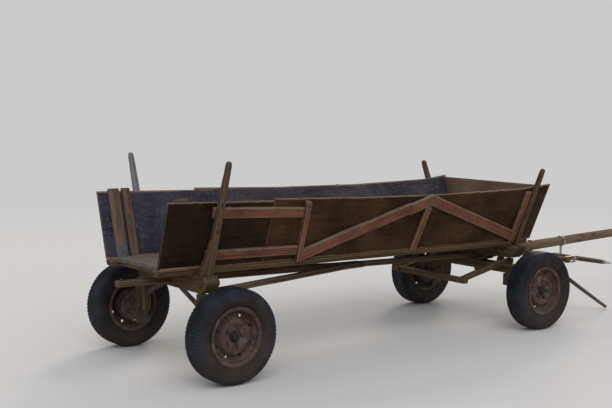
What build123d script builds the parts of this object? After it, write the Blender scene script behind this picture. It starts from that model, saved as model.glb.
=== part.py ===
from build123d import *
from math import atan, cos, degrees, hypot, radians, tan
import os

os.makedirs("parts", exist_ok=True)

# Farm cart on four car wheels, in millimetres.
# X runs forward along the pole, Y to the left, Z up from the ground.
# The origin is on the ground, half way along the whole length and on the centre line.
# Every x in a table or a name below is measured forward from the rear axle.

# Wheels and axles
wheelbase = 2850.0
track = 1295.0
tyre_radius = 300.0
tyre_width = 167.0
tyre_belly_radius = 238.0
tyre_shoulder_radius = 285.0
tyre_crown_half = 52.0
bead_radius = 165.0
bead_half = 58.0
rim_flange_radius = 186.0
rim_sheet = 4.0
disc_sheet = 5.0
dome_radius = 113.0
hand_holes = 8
hand_hole_circle = 133.0
hand_hole_radius = 9.0
hand_hole_sides = 6
tyre_sides = 48
rim_sides = 24
hub_sides = 16
round_sides = 12
pole_sides = 16
studs = 5
stud_circle = 57.0
nut_radius = 10.5
nut_height = 12.0
drum_radius = 112.0
spindle_radius = 17.0
spindle_root_radius = 28.0
backing_plate_radius = 105.0
running_clearance = 0.05
seat_gap = 0.3

# Ends of the cart
tail_overhang = 444.0
pole_ahead = 3050.0

# Bolsters and the reach between them
bolster_width = 110.0
rear_bolster_top = 638.0
rear_bolster_under = 520.0
rear_bolster_half = 440.0
rear_bolster_flat_half = 390.0
front_bolster_top = 620.0
front_bolster_under = 520.0
front_bolster_half = 470.0
front_belly_half = 130.0
front_belly_under = 478.0
bolster_tip = 22.0
rear_tip_drop = 32.0
rear_end_rise = 45.0
rear_end_lean = 8.0
reach_width = 50.0
reach_height = 42.0
reach_tail_z = 569.0
reach_kingpin_z = 503.0
kingpin_radius = 14.0
kingpin_head_radius = 24.0
kingpin_head = 12.0
rub_plate_radius = 85.0
rub_plate = 6.0
kingpin_nut = 20.0
kingpin_nut_gap = 2.0

# Drop blocks and stub axles
block_back = 60.0
block_thick = 55.0
block_inner = 330.0
block_outer = 440.0
block_under = 300.0
stub_plate = 12.0
stub_plate_width = 100.0
stub_plate_below = 65.0
knee_thick = 12.0
knee_width = 36.0
knee_foot_z = 432.0
knee_run = 2.4
fork_tail_y = 400.0
fork_width = 45.0
fork_height = 42.0
fork_nose = 1600.0
fork_nose_length = 220.0

# Box: its leaning sides, measured on their outer faces
box_tail = 340.0
nose_overhang = 180.0
foot_z = 660.0
foot_half_tail = 334.0
foot_half_nose = 389.0
lean_tail = 0.302
lean_nose = 0.432
sheet_thick = 18.0
front_sheet_top = 1112.0
front_sheet_sag = 37.0
sag_shoulder = 26.0
sag_tail_back = 590.0
sag_bottom_ahead = 160.0
sag_nose_back = 270.0
rear_sheet_rise = 8.0
rear_sheet_drop = 15.0
sheet_joint = 438.0
sheet_seam = 2.0
sill_height = 40.0
sill_width = 70.0
sill_steps = 5
foot_rail_height = 32.0
foot_rail_thick = 18.0
floor_top = 700.0
floor_thick = 30.0
floor_tail = 300.0
floor_nose_back = 22.0
floor_half_tail = 255.0
floor_half_nose = 300.0
board_gap = 5.0
headboard_back = 35.0
headboard_thick = 20.0
headboard_top = 1098.0

# Side framing
batten_thick = 28.0
stake_side = 45.0
batten_steps = 5
upright_x = 700.0
peak_x = 1790.0
nose_post_back = 53.0
stake_tenon = 60.0
stake_flare = 55.0
stake_flare_height = 250.0
rear_stake_top = 1364.0
front_stake_top = 1235.0
cleat_thick = 25.0
cleat_back = 73.0
tail_cleat_width = 81.0
inner_cleat_width = 61.0
tailboard_slot = 20.0
cleat_top = 1135.0

# Front gear
axle_beam_width = 100.0
axle_beam_height = 70.0
hound_thick = 45.0
hound_height = 42.0
hound_y = 325.0
sway_x = 2310.0
sway_z = 385.0
sway_half = 400.0
sway_side = 46.0
jaw_thick = 45.0
jaw_bend = 235.0
jaw_nose = 560.0
jaw_bolt_x = 330.0
jaw_bolt_z = 494.0
jaw_bolt_radius = 9.0
band_ahead = 1040.0
band_width = 30.0
band_thick = 5.0
hanger_drop = 95.0
pole_start = 190.0
pole_base_diameter = 87.0
pole_tip_diameter = 62.0
pole_axle_z = 508.0
pole_tip_z = 603.0
pole_flat = 30.0
pole_pin_radius = 10.0
pole_pin_back = 80.0

# Evener and swingletrees
evener_ahead = 640.0
evener_pin_radius = 10.0
evener_half = 430.0
evener_mid_width = 64.0
evener_end_width = 44.0
evener_thick = 40.0
evener_drop = 8.0
tree_y = 400.0
tree_half = 260.0
tree_ahead = 92.0
tree_mid_width = 52.0
tree_end_width = 34.0
tree_thick = 36.0
tree_pin_radius = 7.0
tree_eye = 20.0
tree_eye_radius = 16.0
tree_ring_radius = 26.0
tree_ring_wire = 5.0
strap_thick = 6.0

# Prop stick, hung ahead of the right front wheel
stick_foot_x = 1098.0
stick_foot_z = 20.0
stick_run = 750.0
stick_rise = 430.0
stick_y = 460.0
stick_half = 19.0
stick_tip_half = 14.0
stick_bolt_radius = 5.0
stick_bolt_back = 45.0
stick_arm_thick = 8.0
stick_arm_height = 30.0
stick_arm_inner = 360.0

# Places that follow from these
rear_x = (tail_overhang - wheelbase - pole_ahead) / 2
front_x = rear_x + wheelbase
box_nose = wheelbase + nose_overhang
floor_nose = box_nose - floor_nose_back
headboard_x = box_nose - headboard_back
hub_y = track / 2
axle_z = tyre_radius
axle_beam_top = front_belly_under - 2 * rub_plate - seat_gap
axle_beam_under = axle_beam_top - axle_beam_height


def save(part, name):
    """Label one finished piece and write it."""
    part.label = name
    export_step(part, f"parts/{name}.step")


def both_sides(part):
    """A piece made on the left side together with its mirror image on the right."""
    return Compound(children=[part, mirror(part, about=Plane.XZ)])


def save_pair(part, name):
    """Write a piece made on the left side and its mirror image on the right."""
    save(part, f"{name}_left")
    save(mirror(part, about=Plane.XZ), f"{name}_right")


def share(x):
    """How far x lies along the box, 0 at its tail and 1 at its nose."""
    return (x + box_tail) / (box_tail + box_nose)


def lean(x):
    """Outward lean of the side at x, as a slope."""
    return lean_tail + (lean_nose - lean_tail) * share(x)


def side_y(x, z, depth=0.0):
    """Distance of the side from the centre line, at a depth behind its outer face."""
    foot = foot_half_tail + (foot_half_nose - foot_half_tail) * share(x)
    return foot + lean(x) * (z - foot_z) - depth / cos(atan(lean(x)))


def side_point(x, z):
    """Point of the left side's outer face."""
    return Vector(rear_x + x, side_y(x, z), z)


def side_normal(x, z):
    """Outward normal of the left side at a point."""
    forward = side_point(x + 1, z) - side_point(x, z)
    upward = Vector(0, lean(x), 1)
    return upward.cross(forward).normalized()


def cross_plane(x):
    """Plane across the cart at x, with Y to its right and Z up."""
    return Plane(origin=(rear_x + x, 0, 0), x_dir=(0, 1, 0), z_dir=(1, 0, 0))


def side_slice(x, low, high, outer, inner):
    """Slice of a leaning piece at x, between two heights and two depths."""
    corners = [(side_y(x, low, outer), low), (side_y(x, high, outer), high),
               (side_y(x, high, inner), high), (side_y(x, low, inner), low)]
    with BuildSketch(cross_plane(x)) as slice_sketch:
        Polygon(*corners)
    return slice_sketch.sketch


def sill_under(x):
    """Underside of the sill, which lies on both bolsters."""
    rise = (front_bolster_top - rear_bolster_top) / wheelbase
    return rear_bolster_top + 2 * seat_gap + rise * x


def sill_top(x):
    return sill_under(x) + sill_height


# Tyres, turned about the wheel's axle in many flats
face_plane = Plane(origin=(rear_x, hub_y, axle_z), x_dir=(1, 0, 0), z_dir=(0, 1, 0))


def many_sided_ring(profile, sides):
    """Ring of flats about the left rear wheel's axle, from a profile of radii and outward places."""
    reach_out = max(radius for radius, out in profile) + 1
    half_width = max(abs(out) for radius, out in profile) + 1
    half_side = reach_out * tan(radians(180 / sides))
    with BuildPart() as wedge:
        with BuildSketch(Plane.XZ):
            Polygon(*profile)
        extrude(amount=2 * half_side, both=True)
        with BuildSketch(Plane.XY):
            Polygon((0, 0), (reach_out, half_side), (reach_out, -half_side))
        extrude(amount=half_width, both=True, mode=Mode.INTERSECT)
    with BuildPart() as ring:
        with Locations(face_plane):
            with PolarLocations(0, sides):
                add(wedge.part)
    return ring.part


def save_wheels(part, name):
    """Write the rear wheel's piece and its copies at the front axle."""
    save_pair(part, f"{name}_rear")
    save_pair(Pos(wheelbase, 0, 0) * part, f"{name}_front")


half_tyre = tyre_width / 2
half_profile = [
    (bead_radius / cos(radians(180 / rim_sides)) + seat_gap, bead_half - seat_gap),
    (rim_flange_radius + 3, bead_half - seat_gap),
    (tyre_belly_radius, half_tyre),
    (tyre_shoulder_radius, half_tyre - 9),
    (tyre_radius, tyre_crown_half),
]
tyre_profile = half_profile + [(radius, -out) for radius, out in reversed(half_profile)]
save_wheels(many_sided_ring(tyre_profile, tyre_sides), "tyre")

# Rims: a rolled barrel with a drop centre and a pressed disc with hand holes
well_radius = bead_radius - 17
disc_rim = well_radius - rim_sheet
disc_root_y = 12.0
disc_face_y = 44.0
disc_seat_y = 31.0
disc_bore = 33.0
rim_profile = [
    (rim_flange_radius, bead_half + 6),
    (rim_flange_radius, bead_half),
    (bead_radius, bead_half),
    (bead_radius, -bead_half),
    (rim_flange_radius, -bead_half),
    (rim_flange_radius, -bead_half - 6),
    (bead_radius - rim_sheet, -bead_half - rim_sheet),
    (disc_rim, -bead_half + 20),
    (disc_rim, disc_root_y - disc_sheet),
    (dome_radius + 8, disc_root_y + 10 - disc_sheet),
    (dome_radius - 16, disc_face_y - disc_sheet),
    (stud_circle + 24, disc_face_y - disc_sheet),
    (stud_circle + 16, disc_seat_y - disc_sheet),
    (disc_bore, disc_seat_y - disc_sheet),
    (disc_bore, disc_seat_y),
    (stud_circle + 14, disc_seat_y),
    (stud_circle + 21, disc_face_y),
    (dome_radius - 13, disc_face_y),
    (dome_radius + 10, disc_root_y + 10),
    (disc_rim, disc_root_y),
    (disc_rim, bead_half - 20),
    (bead_radius - rim_sheet, bead_half + rim_sheet),
]
with BuildPart() as rim:
    add(many_sided_ring(rim_profile, rim_sides))
    with BuildSketch(face_plane):
        with PolarLocations(hand_hole_circle, hand_holes):
            RegularPolygon(hand_hole_radius, hand_hole_sides)
    extrude(amount=disc_face_y, mode=Mode.SUBTRACT)
save_wheels(rim.part, "rim")

# Hubs: a brake drum with its bearing boss, studs, nuts and grease cap
hub_inner_y = -62.0
hub_bore = spindle_radius + running_clearance
spindle_end_y = 26.0
cap_end_y = 58.0
bore_start = spindle_radius - 5
hub_profile = [
    (bore_start, hub_inner_y),
    (spindle_radius + 15, hub_inner_y),
    (spindle_radius + 15, 8),
    (drum_radius - 8, 8),
    (drum_radius - 8, hub_inner_y + 4),
    (drum_radius, hub_inner_y + 4),
    (drum_radius, 17),
    (stud_circle + 14, disc_seat_y - disc_sheet - seat_gap),
    (disc_bore - 2, disc_seat_y - disc_sheet - seat_gap),
    (disc_bore - 4, cap_end_y - 8),
    (disc_bore - 12, cap_end_y),
    (bore_start, cap_end_y),
]
with BuildPart() as hub:
    add(many_sided_ring(hub_profile, hub_sides))
    with BuildSketch(face_plane.offset(spindle_end_y + 4)):
        Circle(spindle_radius)
    extrude(amount=cap_end_y - 2 - spindle_end_y - 4)
    with BuildSketch(face_plane.offset(hub_inner_y)):
        Circle(hub_bore)
    extrude(amount=spindle_end_y + 4 - hub_inner_y, mode=Mode.SUBTRACT)
    with BuildSketch(face_plane.offset(disc_seat_y + seat_gap)):
        with PolarLocations(stud_circle, studs):
            RegularPolygon(nut_radius, 6)
    extrude(amount=nut_height)
save_wheels(hub.part, "hub")


# Stub axles: a bolted plate, the spindle and the drum's backing plate
def stub_axle(x, plate_top):
    """Steel stub on the outer face of a drop block, left side."""
    centre = (rear_x + x, 0, axle_z)
    out = Plane(origin=centre, x_dir=(1, 0, 0), z_dir=(0, 1, 0))
    face = block_outer + seat_gap
    plate_low = -stub_plate_below
    plate_high = plate_top - axle_z
    with BuildPart() as stub:
        with BuildSketch(out.offset(face)):
            with Locations((stub_plate_width / 2 - block_back + 2, -(plate_low + plate_high) / 2)):
                plate = Rectangle(stub_plate_width, plate_high - plate_low)
            chamfer(plate.vertices(), 14)
        extrude(amount=stub_plate)
        with BuildSketch(out.offset(face + stub_plate)):
            RegularPolygon(spindle_root_radius, round_sides)
        backing_y = hub_y + hub_inner_y - 10
        extrude(amount=backing_y - face - stub_plate)
        with BuildSketch(out.offset(backing_y)):
            RegularPolygon(backing_plate_radius, round_sides)
        extrude(amount=4)
        with BuildSketch(out.offset(backing_y + 4)):
            Circle(spindle_radius)
        extrude(amount=hub_y + spindle_end_y - backing_y - 4)
    return stub.part


save(both_sides(stub_axle(0.0, rear_bolster_under - 20)), "stubs_rear")
save(both_sides(stub_axle(wheelbase, axle_beam_top - 6)), "stubs_front")


# Drop blocks under the bolster and under the front axle beam
def drop_block(x, top):
    """Short plank, on end, that brings the stub down to the wheel's centre."""
    width = block_outer - block_inner
    height = top - seat_gap - block_under
    with BuildPart() as block:
        with Locations((rear_x + x - block_back + block_thick / 2, (block_inner + block_outer) / 2,
                        block_under + height / 2)):
            Box(block_thick, width, height)
        chamfer(block.edges().filter_by(Axis.Z), 5)
    return block.part


save(both_sides(drop_block(0.0, rear_bolster_under)), "drop_blocks_rear")
save(both_sides(drop_block(wheelbase, axle_beam_under)), "drop_blocks_front")


# Stakes in the bolsters, outside the battens at the rear and on the sheet in front
def stake_plane(x, base, out, side=1):
    """Plane square to a stake where it leaves the bolster, 1 for left and -1 for right."""
    origin = side_point(x, base) + side_normal(x, base) * out
    origin += Vector(0, lean(x), 1) * (base - origin.Z)
    return Plane(origin=(origin.X, side * origin.Y, origin.Z), x_dir=(1, 0, 0), z_dir=(0, side * lean(x), 1))


def stake(x, base, out, top, flare=0.0):
    """Square stake with a tenon in the bolster and, where flared, a wider foot behind."""
    plane = stake_plane(x, base, out)
    half = stake_side / 2
    length = (top - base) * hypot(1, lean(x))
    foot = half * lean(x) + seat_gap
    with BuildPart() as post:
        with BuildSketch(Plane(origin=plane.origin, x_dir=(-1, 0, 0), z_dir=plane.y_dir)):
            Polygon((-half, -stake_tenon), (half, -stake_tenon), (half, length), (-half, length))
            if flare:
                Polygon((half, foot), (half + flare, foot), (half, stake_flare_height))
        extrude(amount=half, both=True)
    return post.part


def stake_out(x, behind):
    """Middle of a stake from the side's outer face, clear of the side's flare across its width."""
    flare = side_y(x + stake_side / 2, front_sheet_top) - side_y(x, front_sheet_top)
    return behind + seat_gap + flare + stake_side / 2


rear_stake_out = stake_out(0.0, batten_thick + seat_gap)
front_stake_out = stake_out(wheelbase, 0.0)
save(both_sides(stake(0.0, rear_bolster_top, rear_stake_out, rear_stake_top, stake_flare)), "stakes_rear")
save(both_sides(stake(wheelbase, front_bolster_top, front_stake_out, front_stake_top)), "stakes_front")


# Reach: the pole that joins the rear bolster to the kingpin
reach_slope = (reach_kingpin_z - reach_tail_z) / (wheelbase + tail_overhang)


def reach_plane(x, rise=0.0):
    """Plane across the reach at x, raised from its middle."""
    z = reach_tail_z + reach_slope * (x + tail_overhang) + rise
    return Plane(origin=(rear_x + x, 0, z), x_dir=(0, 1, 0), z_dir=(1, 0, reach_slope))


with BuildPart() as reach:
    with BuildSketch(reach_plane(-tail_overhang)):
        Rectangle(reach_width, reach_height)
    extrude(amount=tail_overhang + wheelbase + bolster_width / 2)
    chamfer(reach.edges().filter_by(lambda edge: edge.length > wheelbase), 5)
    with Locations((front_x, 0, reach_kingpin_z)):
        Cylinder(kingpin_radius + seat_gap, 3 * reach_height, mode=Mode.SUBTRACT)
save(reach.part, "reach")

# Bolsters, with mortises for the stakes and a way through for the reach
mortise = stake_side + 2 * seat_gap
mortise_depth = 2 * (stake_tenon + seat_gap)
reach_slot = reach_width + 2 * seat_gap
reach_top = reach_height / 2 + seat_gap
with BuildPart() as rear_bolster:
    with BuildSketch(cross_plane(-bolster_width / 2)):
        with BuildLine():
            Polyline(
                (0, rear_bolster_top),
                (rear_bolster_half - bolster_tip, rear_bolster_top),
                (rear_bolster_half, rear_bolster_top - rear_tip_drop),
                (rear_bolster_half - rear_end_lean, rear_bolster_under + rear_end_rise),
                (rear_bolster_flat_half, rear_bolster_under),
                (0, rear_bolster_under),
            )
            mirror(about=Plane.YZ)
        make_face()
    extrude(amount=bolster_width)
    with Locations(*[stake_plane(0.0, rear_bolster_top, rear_stake_out, side) for side in (1, -1)]):
        Box(mortise, mortise, mortise_depth, mode=Mode.SUBTRACT)
    with Locations(reach_plane(0.0)):
        Box(reach_slot, 2 * reach_top, 2 * bolster_width, mode=Mode.SUBTRACT)
save(rear_bolster.part, "rear_bolster")

with BuildPart() as front_bolster:
    with BuildSketch(cross_plane(wheelbase - bolster_width / 2)):
        with BuildLine():
            Polyline(
                (0, front_bolster_top),
                (front_bolster_half - bolster_tip, front_bolster_top),
                (front_bolster_half, front_bolster_top - bolster_tip / 2),
                (front_bolster_half - 60, front_bolster_under),
                (front_belly_half + 25, front_bolster_under),
                (front_belly_half, front_belly_under),
                (0, front_belly_under),
            )
            mirror(about=Plane.YZ)
        make_face()
    extrude(amount=bolster_width)
    with Locations(*[stake_plane(wheelbase, front_bolster_top, front_stake_out, side) for side in (1, -1)]):
        Box(mortise, mortise, mortise_depth, mode=Mode.SUBTRACT)
    with Locations(reach_plane(wheelbase, reach_top)):
        Box(reach_slot, 2 * reach_height, 2 * bolster_width, align=(Align.CENTER, Align.MAX, Align.CENTER),
            mode=Mode.SUBTRACT)
    with Locations((front_x, 0, front_bolster_top)):
        CounterBoreHole(kingpin_radius + seat_gap, kingpin_head_radius + seat_gap, kingpin_head + seat_gap)
save(front_bolster.part, "front_bolster")

# Kingpin and the two round plates that rub on each other round it
upper_plate_z = front_belly_under - rub_plate
with BuildPart() as upper_plate:
    with BuildSketch(Plane(origin=(front_x, 0, upper_plate_z))):
        RegularPolygon(rub_plate_radius, 2 * round_sides)
        Circle(kingpin_radius + seat_gap, mode=Mode.SUBTRACT)
    extrude(amount=rub_plate)
save(upper_plate.part, "rub_plate_upper")

with BuildPart() as lower_plate:
    with BuildSketch(Plane(origin=(front_x, 0, axle_beam_top))):
        RegularPolygon(rub_plate_radius, 2 * round_sides)
        Circle(kingpin_radius + running_clearance, mode=Mode.SUBTRACT)
    extrude(amount=rub_plate)
save(lower_plate.part, "rub_plate_lower")

nut_top = axle_beam_under - kingpin_nut_gap
with BuildPart() as kingpin:
    with BuildSketch(Plane(origin=(front_x, 0, nut_top - kingpin_nut))):
        RegularPolygon(kingpin_head_radius, 6)
    extrude(amount=kingpin_nut)
    with BuildSketch(Plane(origin=(front_x, 0, nut_top - kingpin_nut))):
        Circle(kingpin_radius)
    extrude(amount=front_bolster_top - nut_top + kingpin_nut)
    with BuildSketch(Plane(origin=(front_x, 0, front_bolster_top))):
        RegularPolygon(kingpin_head_radius, round_sides)
    extrude(amount=-kingpin_head)
save(kingpin.part, "kingpin")

# Rear braces: two poles that run in from the bolster to the reach, and the knee braces
with BuildPart() as fork:
    fork_under = reach_plane(fork_nose).origin.Z - reach_height / 2
    with BuildSketch(Plane(origin=(rear_x, 0, fork_under))):
        Polygon(
            (bolster_width / 2 + seat_gap, fork_tail_y),
            (bolster_width / 2 + seat_gap, fork_tail_y - fork_width * 1.1),
            (fork_nose - fork_nose_length, reach_width / 2 + seat_gap),
            (fork_nose, reach_width / 2 + seat_gap),
            (fork_nose, reach_width / 2 + seat_gap + fork_width / 2),
            (fork_nose - fork_nose_length, reach_width / 2 + seat_gap + fork_width),
        )
    extrude(amount=fork_height)
save(both_sides(fork.part), "fork_arms")


def knee_brace(x, beam_under):
    """Flat iron from the inner face of a drop block up to the beam above it, left side."""
    reach_in = (beam_under - knee_foot_z) * knee_run
    with BuildPart() as knee:
        with BuildSketch(cross_plane(x - block_back + (block_thick - knee_thick) / 2)):
            Polygon(
                (block_inner - seat_gap, knee_foot_z - knee_width / 2),
                (block_inner - seat_gap, knee_foot_z + knee_width / 2),
                (block_inner - reach_in + knee_width, beam_under - seat_gap),
                (block_inner - reach_in - knee_width, beam_under - seat_gap),
            )
        extrude(amount=knee_thick)
    return knee.part


save(both_sides(knee_brace(0.0, rear_bolster_under)), "knee_braces")

# Sills on the bolsters, and the leaning sheets that stand on them
with BuildPart() as sill:
    stations = [-box_tail + (floor_nose + box_tail) * step / sill_steps for step in range(sill_steps + 1)]
    loft([side_slice(x, sill_under(x), sill_top(x), 0, sill_width) for x in stations], ruled=True)
save(both_sides(sill.part), "sills")

# Columns: distance from the rear axle, height of the top edge
rear_sheet_tops = [
    (-box_tail, front_sheet_top + rear_sheet_rise),
    (sheet_joint - sheet_seam, front_sheet_top - rear_sheet_drop),
]
front_sheet_tops = [
    (sheet_joint, front_sheet_top),
    (peak_x - sag_tail_back, front_sheet_top - sag_shoulder),
    (peak_x + sag_bottom_ahead, front_sheet_top - front_sheet_sag),
    (box_nose - sag_nose_back, front_sheet_top - sag_shoulder),
    (box_nose, front_sheet_top),
]
for name, tops in (("sheet_rear", rear_sheet_tops), ("sheet_front", front_sheet_tops)):
    with BuildPart() as sheet:
        loft([side_slice(x, sill_top(x) + seat_gap, top, 0, sheet_thick) for x, top in tops], ruled=True)
    save_pair(sheet.part, name)


# Framing nailed on the outside of the sheets, each piece cut to fit its neighbours
def end_edge(dx, dz, width, cut):
    """Half of a batten's end edge, for an end cut square, upright or level."""
    length = hypot(dx, dz)
    return {
        "square": (-dz / length * width / 2, dx / length * width / 2),
        "upright": (0.0, length / dx * width / 2) if dx else (0.0, 0.0),
        "level": (-length / dz * width / 2, 0.0) if dz else (0.0, 0.0),
    }[cut]


def batten_slices(x0, z0, x1, z1, width, thick, cut0, cut1):
    """Slices along a batten, each standing on the leaning side."""
    ex0, ez0 = end_edge(x1 - x0, z1 - z0, width, cut0)
    ex1, ez1 = end_edge(x1 - x0, z1 - z0, width, cut1)
    slices = []
    for step in range(batten_steps + 1):
        part_way = step / batten_steps
        x, z = x0 + (x1 - x0) * part_way, z0 + (z1 - z0) * part_way
        ex, ez = ex0 + (ex1 - ex0) * part_way, ez0 + (ez1 - ez0) * part_way
        low, high = side_point(x - ex, z - ez), side_point(x + ex, z + ez)
        normal = side_normal(x, z)
        centre = (low + high) * 0.5 + normal * (seat_gap + thick / 2)
        with BuildSketch(Plane(origin=centre, x_dir=high - low, z_dir=(high - low).cross(normal))) as cut:
            Rectangle((high - low).length, thick)
        slices.append(cut.sketch)
    return slices


def on_rail(x):
    """Lowest edge of a batten that stands on the foot rail."""
    return sill_top(x) + 2 * seat_gap


rail_tail = stake_side / 2 + 4
rail_nose = wheelbase - stake_side / 2 - 2
rail_drop = foot_rail_height / 2
nose_post_x = wheelbase - nose_post_back
# Columns: x and z of both ends on the middle line, width, thickness, cut of both ends
battens = [
    (rail_tail, sill_top(rail_tail) - rail_drop, rail_nose, sill_top(rail_nose) - rail_drop,
     foot_rail_height, foot_rail_thick, "upright", "upright"),
    (-24.0, 1046.0, upright_x - 27, 1015.0, 66.0, batten_thick, "upright", "upright"),
    (-24.0, 769.0, upright_x - 14, 755.0, 60.0, batten_thick, "upright", "upright"),
    (upright_x + 11, on_rail(upright_x), upright_x - 7, 1088.0, 38.0, batten_thick + 10, "level", "level"),
    (upright_x + 33, on_rail(upright_x) + 40, peak_x - 1, 1047.0, 76.0, batten_thick, "upright", "upright"),
    (peak_x - 40, on_rail(peak_x - 40), peak_x, 994.0, 50.0, batten_thick - 4, "level", "level"),
    (peak_x + 1, 1047.0, nose_post_x - 31, 716.0, 72.0, batten_thick, "upright", "upright"),
    (nose_post_x, on_rail(nose_post_x), nose_post_x, 1062.0, 58.0, batten_thick - 4, "level", "level"),
    (-330.0, 692.0, -24.0, 690.0, 20.0, 12.0, "upright", "upright"),
]
with BuildPart() as side_frame:
    for batten in battens:
        loft(batten_slices(*batten), ruled=True)
save_pair(side_frame.part, "side_frame")

# Cleats inside the tail of each side, a slot apart, that hold a tailboard
tail_cleat_x = cleat_back - box_tail
slot_x = tail_cleat_x + tail_cleat_width
inner_cleat_x = slot_x + tailboard_slot + inner_cleat_width
with BuildPart() as cleats:
    for near_x, far_x in ((tail_cleat_x, slot_x), (slot_x + tailboard_slot, inner_cleat_x)):
        loft([side_slice(x, sill_top(x) + seat_gap, cleat_top, sheet_thick + seat_gap,
                         sheet_thick + seat_gap + cleat_thick) for x in (near_x, far_x)], ruled=True)
save(both_sides(cleats.part), "tail_cleats")

# Bearers between the sills. Columns: middle, length along the cart, underside
bearers = [
    (-250.0, 60.0, rear_bolster_top + 4),
    (0.0, 90.0, rear_bolster_top + seat_gap),
    (950.0, 60.0, rear_bolster_top - 4),
    (1900.0, 60.0, rear_bolster_top - 8),
    (wheelbase, 90.0, front_bolster_top + seat_gap),
]
bearer_top = floor_top - floor_thick - seat_gap
with BuildPart() as floor_bearers:
    for x, length, under in bearers:
        back = x - length / 2
        half_low = side_y(back, under, sill_width) - seat_gap
        half_high = side_y(back, bearer_top, sill_width) - seat_gap
        with BuildSketch(cross_plane(back)):
            Polygon((-half_low, under), (half_low, under), (half_high, bearer_top), (-half_high, bearer_top))
        extrude(amount=length)
save(floor_bearers.part, "floor_bearers")

# Floor boards, widening forward. One column: how far each tail end stands back
board_tails = [0.0, 12.0, 4.0, 9.0, 0.0]
with BuildPart() as floor:
    with BuildSketch(Plane(origin=(rear_x, 0, floor_top - floor_thick))):
        for board, tail in enumerate(board_tails):
            edges = [2 * board / len(board_tails) - 1, 2 * (board + 1) / len(board_tails) - 1]
            low, high = edges
            Polygon(
                (-floor_tail + tail, low * floor_half_tail + board_gap / 2),
                (floor_nose, low * floor_half_nose + board_gap / 2),
                (floor_nose, high * floor_half_nose - board_gap / 2),
                (-floor_tail + tail, high * floor_half_tail - board_gap / 2),
            )
    extrude(amount=floor_thick)
save(floor.part, "floor_boards")

# Headboard, standing on the floor between the sheets
with BuildPart() as headboard:
    back = headboard_x - headboard_thick / 2
    low, high = floor_top + seat_gap, headboard_top
    half_low = side_y(back, low, sheet_thick) - seat_gap
    half_high = side_y(back, high, sheet_thick) - seat_gap
    with BuildSketch(cross_plane(back)):
        Polygon((-half_low, low), (half_low, low), (half_high, high), (-half_high, high))
    extrude(amount=headboard_thick)
save(headboard.part, "headboard")

# Front axle beam, turning on the kingpin
with BuildPart() as axle_beam:
    with Locations((front_x, 0, axle_beam_top - axle_beam_height / 2)):
        Box(axle_beam_width, 2 * block_outer, axle_beam_height)
        chamfer(axle_beam.edges().filter_by(Axis.Y), 6)
    with Locations((front_x, 0, axle_beam_top)):
        Hole(kingpin_radius + running_clearance)
save(axle_beam.part, "front_axle_beam")

# Sway bar behind the axle, and the hounds that run down to it from the beam
with BuildPart() as sway_bar:
    with Locations((rear_x + sway_x, 0, sway_z)):
        Box(sway_side, 2 * sway_half, sway_side)
    chamfer(sway_bar.edges().filter_by(Axis.Y), 5)
save(sway_bar.part, "sway_bar")

hound_seat = axle_beam_top + seat_gap
hound_end = sway_x + sway_side / 2 + seat_gap
with BuildPart() as hound:
    with BuildSketch(Plane(origin=(rear_x, hound_y, 0), x_dir=(1, 0, 0), z_dir=(0, -1, 0))):
        Polygon(
            (wheelbase - axle_beam_width / 2, hound_seat),
            (wheelbase + axle_beam_width / 2, hound_seat),
            (wheelbase + axle_beam_width / 2, hound_seat + hound_height),
            (wheelbase - axle_beam_width / 2, hound_seat + hound_height),
            (hound_end, sway_z + hound_height / 2),
            (hound_end, sway_z - hound_height / 2),
        )
    extrude(amount=hound_thick / 2, both=True)
save(both_sides(hound.part), "hounds")

# Jaws: the two bars that run in from the axle beam and grip the pole's flats
jaw_y = pole_flat + seat_gap
jaw_tail_y = hound_y - hound_thick / 2 - seat_gap
with BuildPart() as jaw:
    with BuildSketch(Plane(origin=(front_x, 0, hound_seat))):
        Polygon(
            (-axle_beam_width / 2, jaw_tail_y),
            (-axle_beam_width / 2, jaw_tail_y - jaw_thick * 1.1),
            (jaw_bend, jaw_y),
            (jaw_nose, jaw_y),
            (jaw_nose, jaw_y + jaw_thick),
            (jaw_bend + 12, jaw_y + jaw_thick),
            (-axle_beam_width / 2 + 40, jaw_tail_y),
        )
    extrude(amount=hound_height)
    with Locations(Plane(origin=(front_x + jaw_bolt_x, 0, jaw_bolt_z), z_dir=(0, 1, 0))):
        Cylinder(jaw_bolt_radius + seat_gap, 4 * jaw_thick, mode=Mode.SUBTRACT)
save(both_sides(jaw.part), "pole_jaws")

# Pole: a round tapering spar with flats where the jaws hold it
pole_slope = (pole_tip_z - pole_axle_z) / (pole_ahead - pole_start)


def pole_radius(ahead):
    """Radius of the pole at a distance ahead of the front axle."""
    taper = (ahead - pole_start) / (pole_ahead - pole_start)
    return (pole_base_diameter + (pole_tip_diameter - pole_base_diameter) * taper) / 2


def pole_plane(ahead):
    """Plane across the pole at a distance ahead of the front axle, with X to the left."""
    z = pole_axle_z + pole_slope * (ahead - pole_start)
    return Plane(origin=(front_x + ahead, 0, z), x_dir=(0, 1, 0), z_dir=(1, 0, pole_slope))


def pole_section(radius, mode=Mode.ADD):
    """Many-sided section of the pole, or of a ring round it, with a flat on each side."""
    return RegularPolygon(radius, pole_sides, major_radius=False, rotation=180 / pole_sides, mode=mode)


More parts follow.
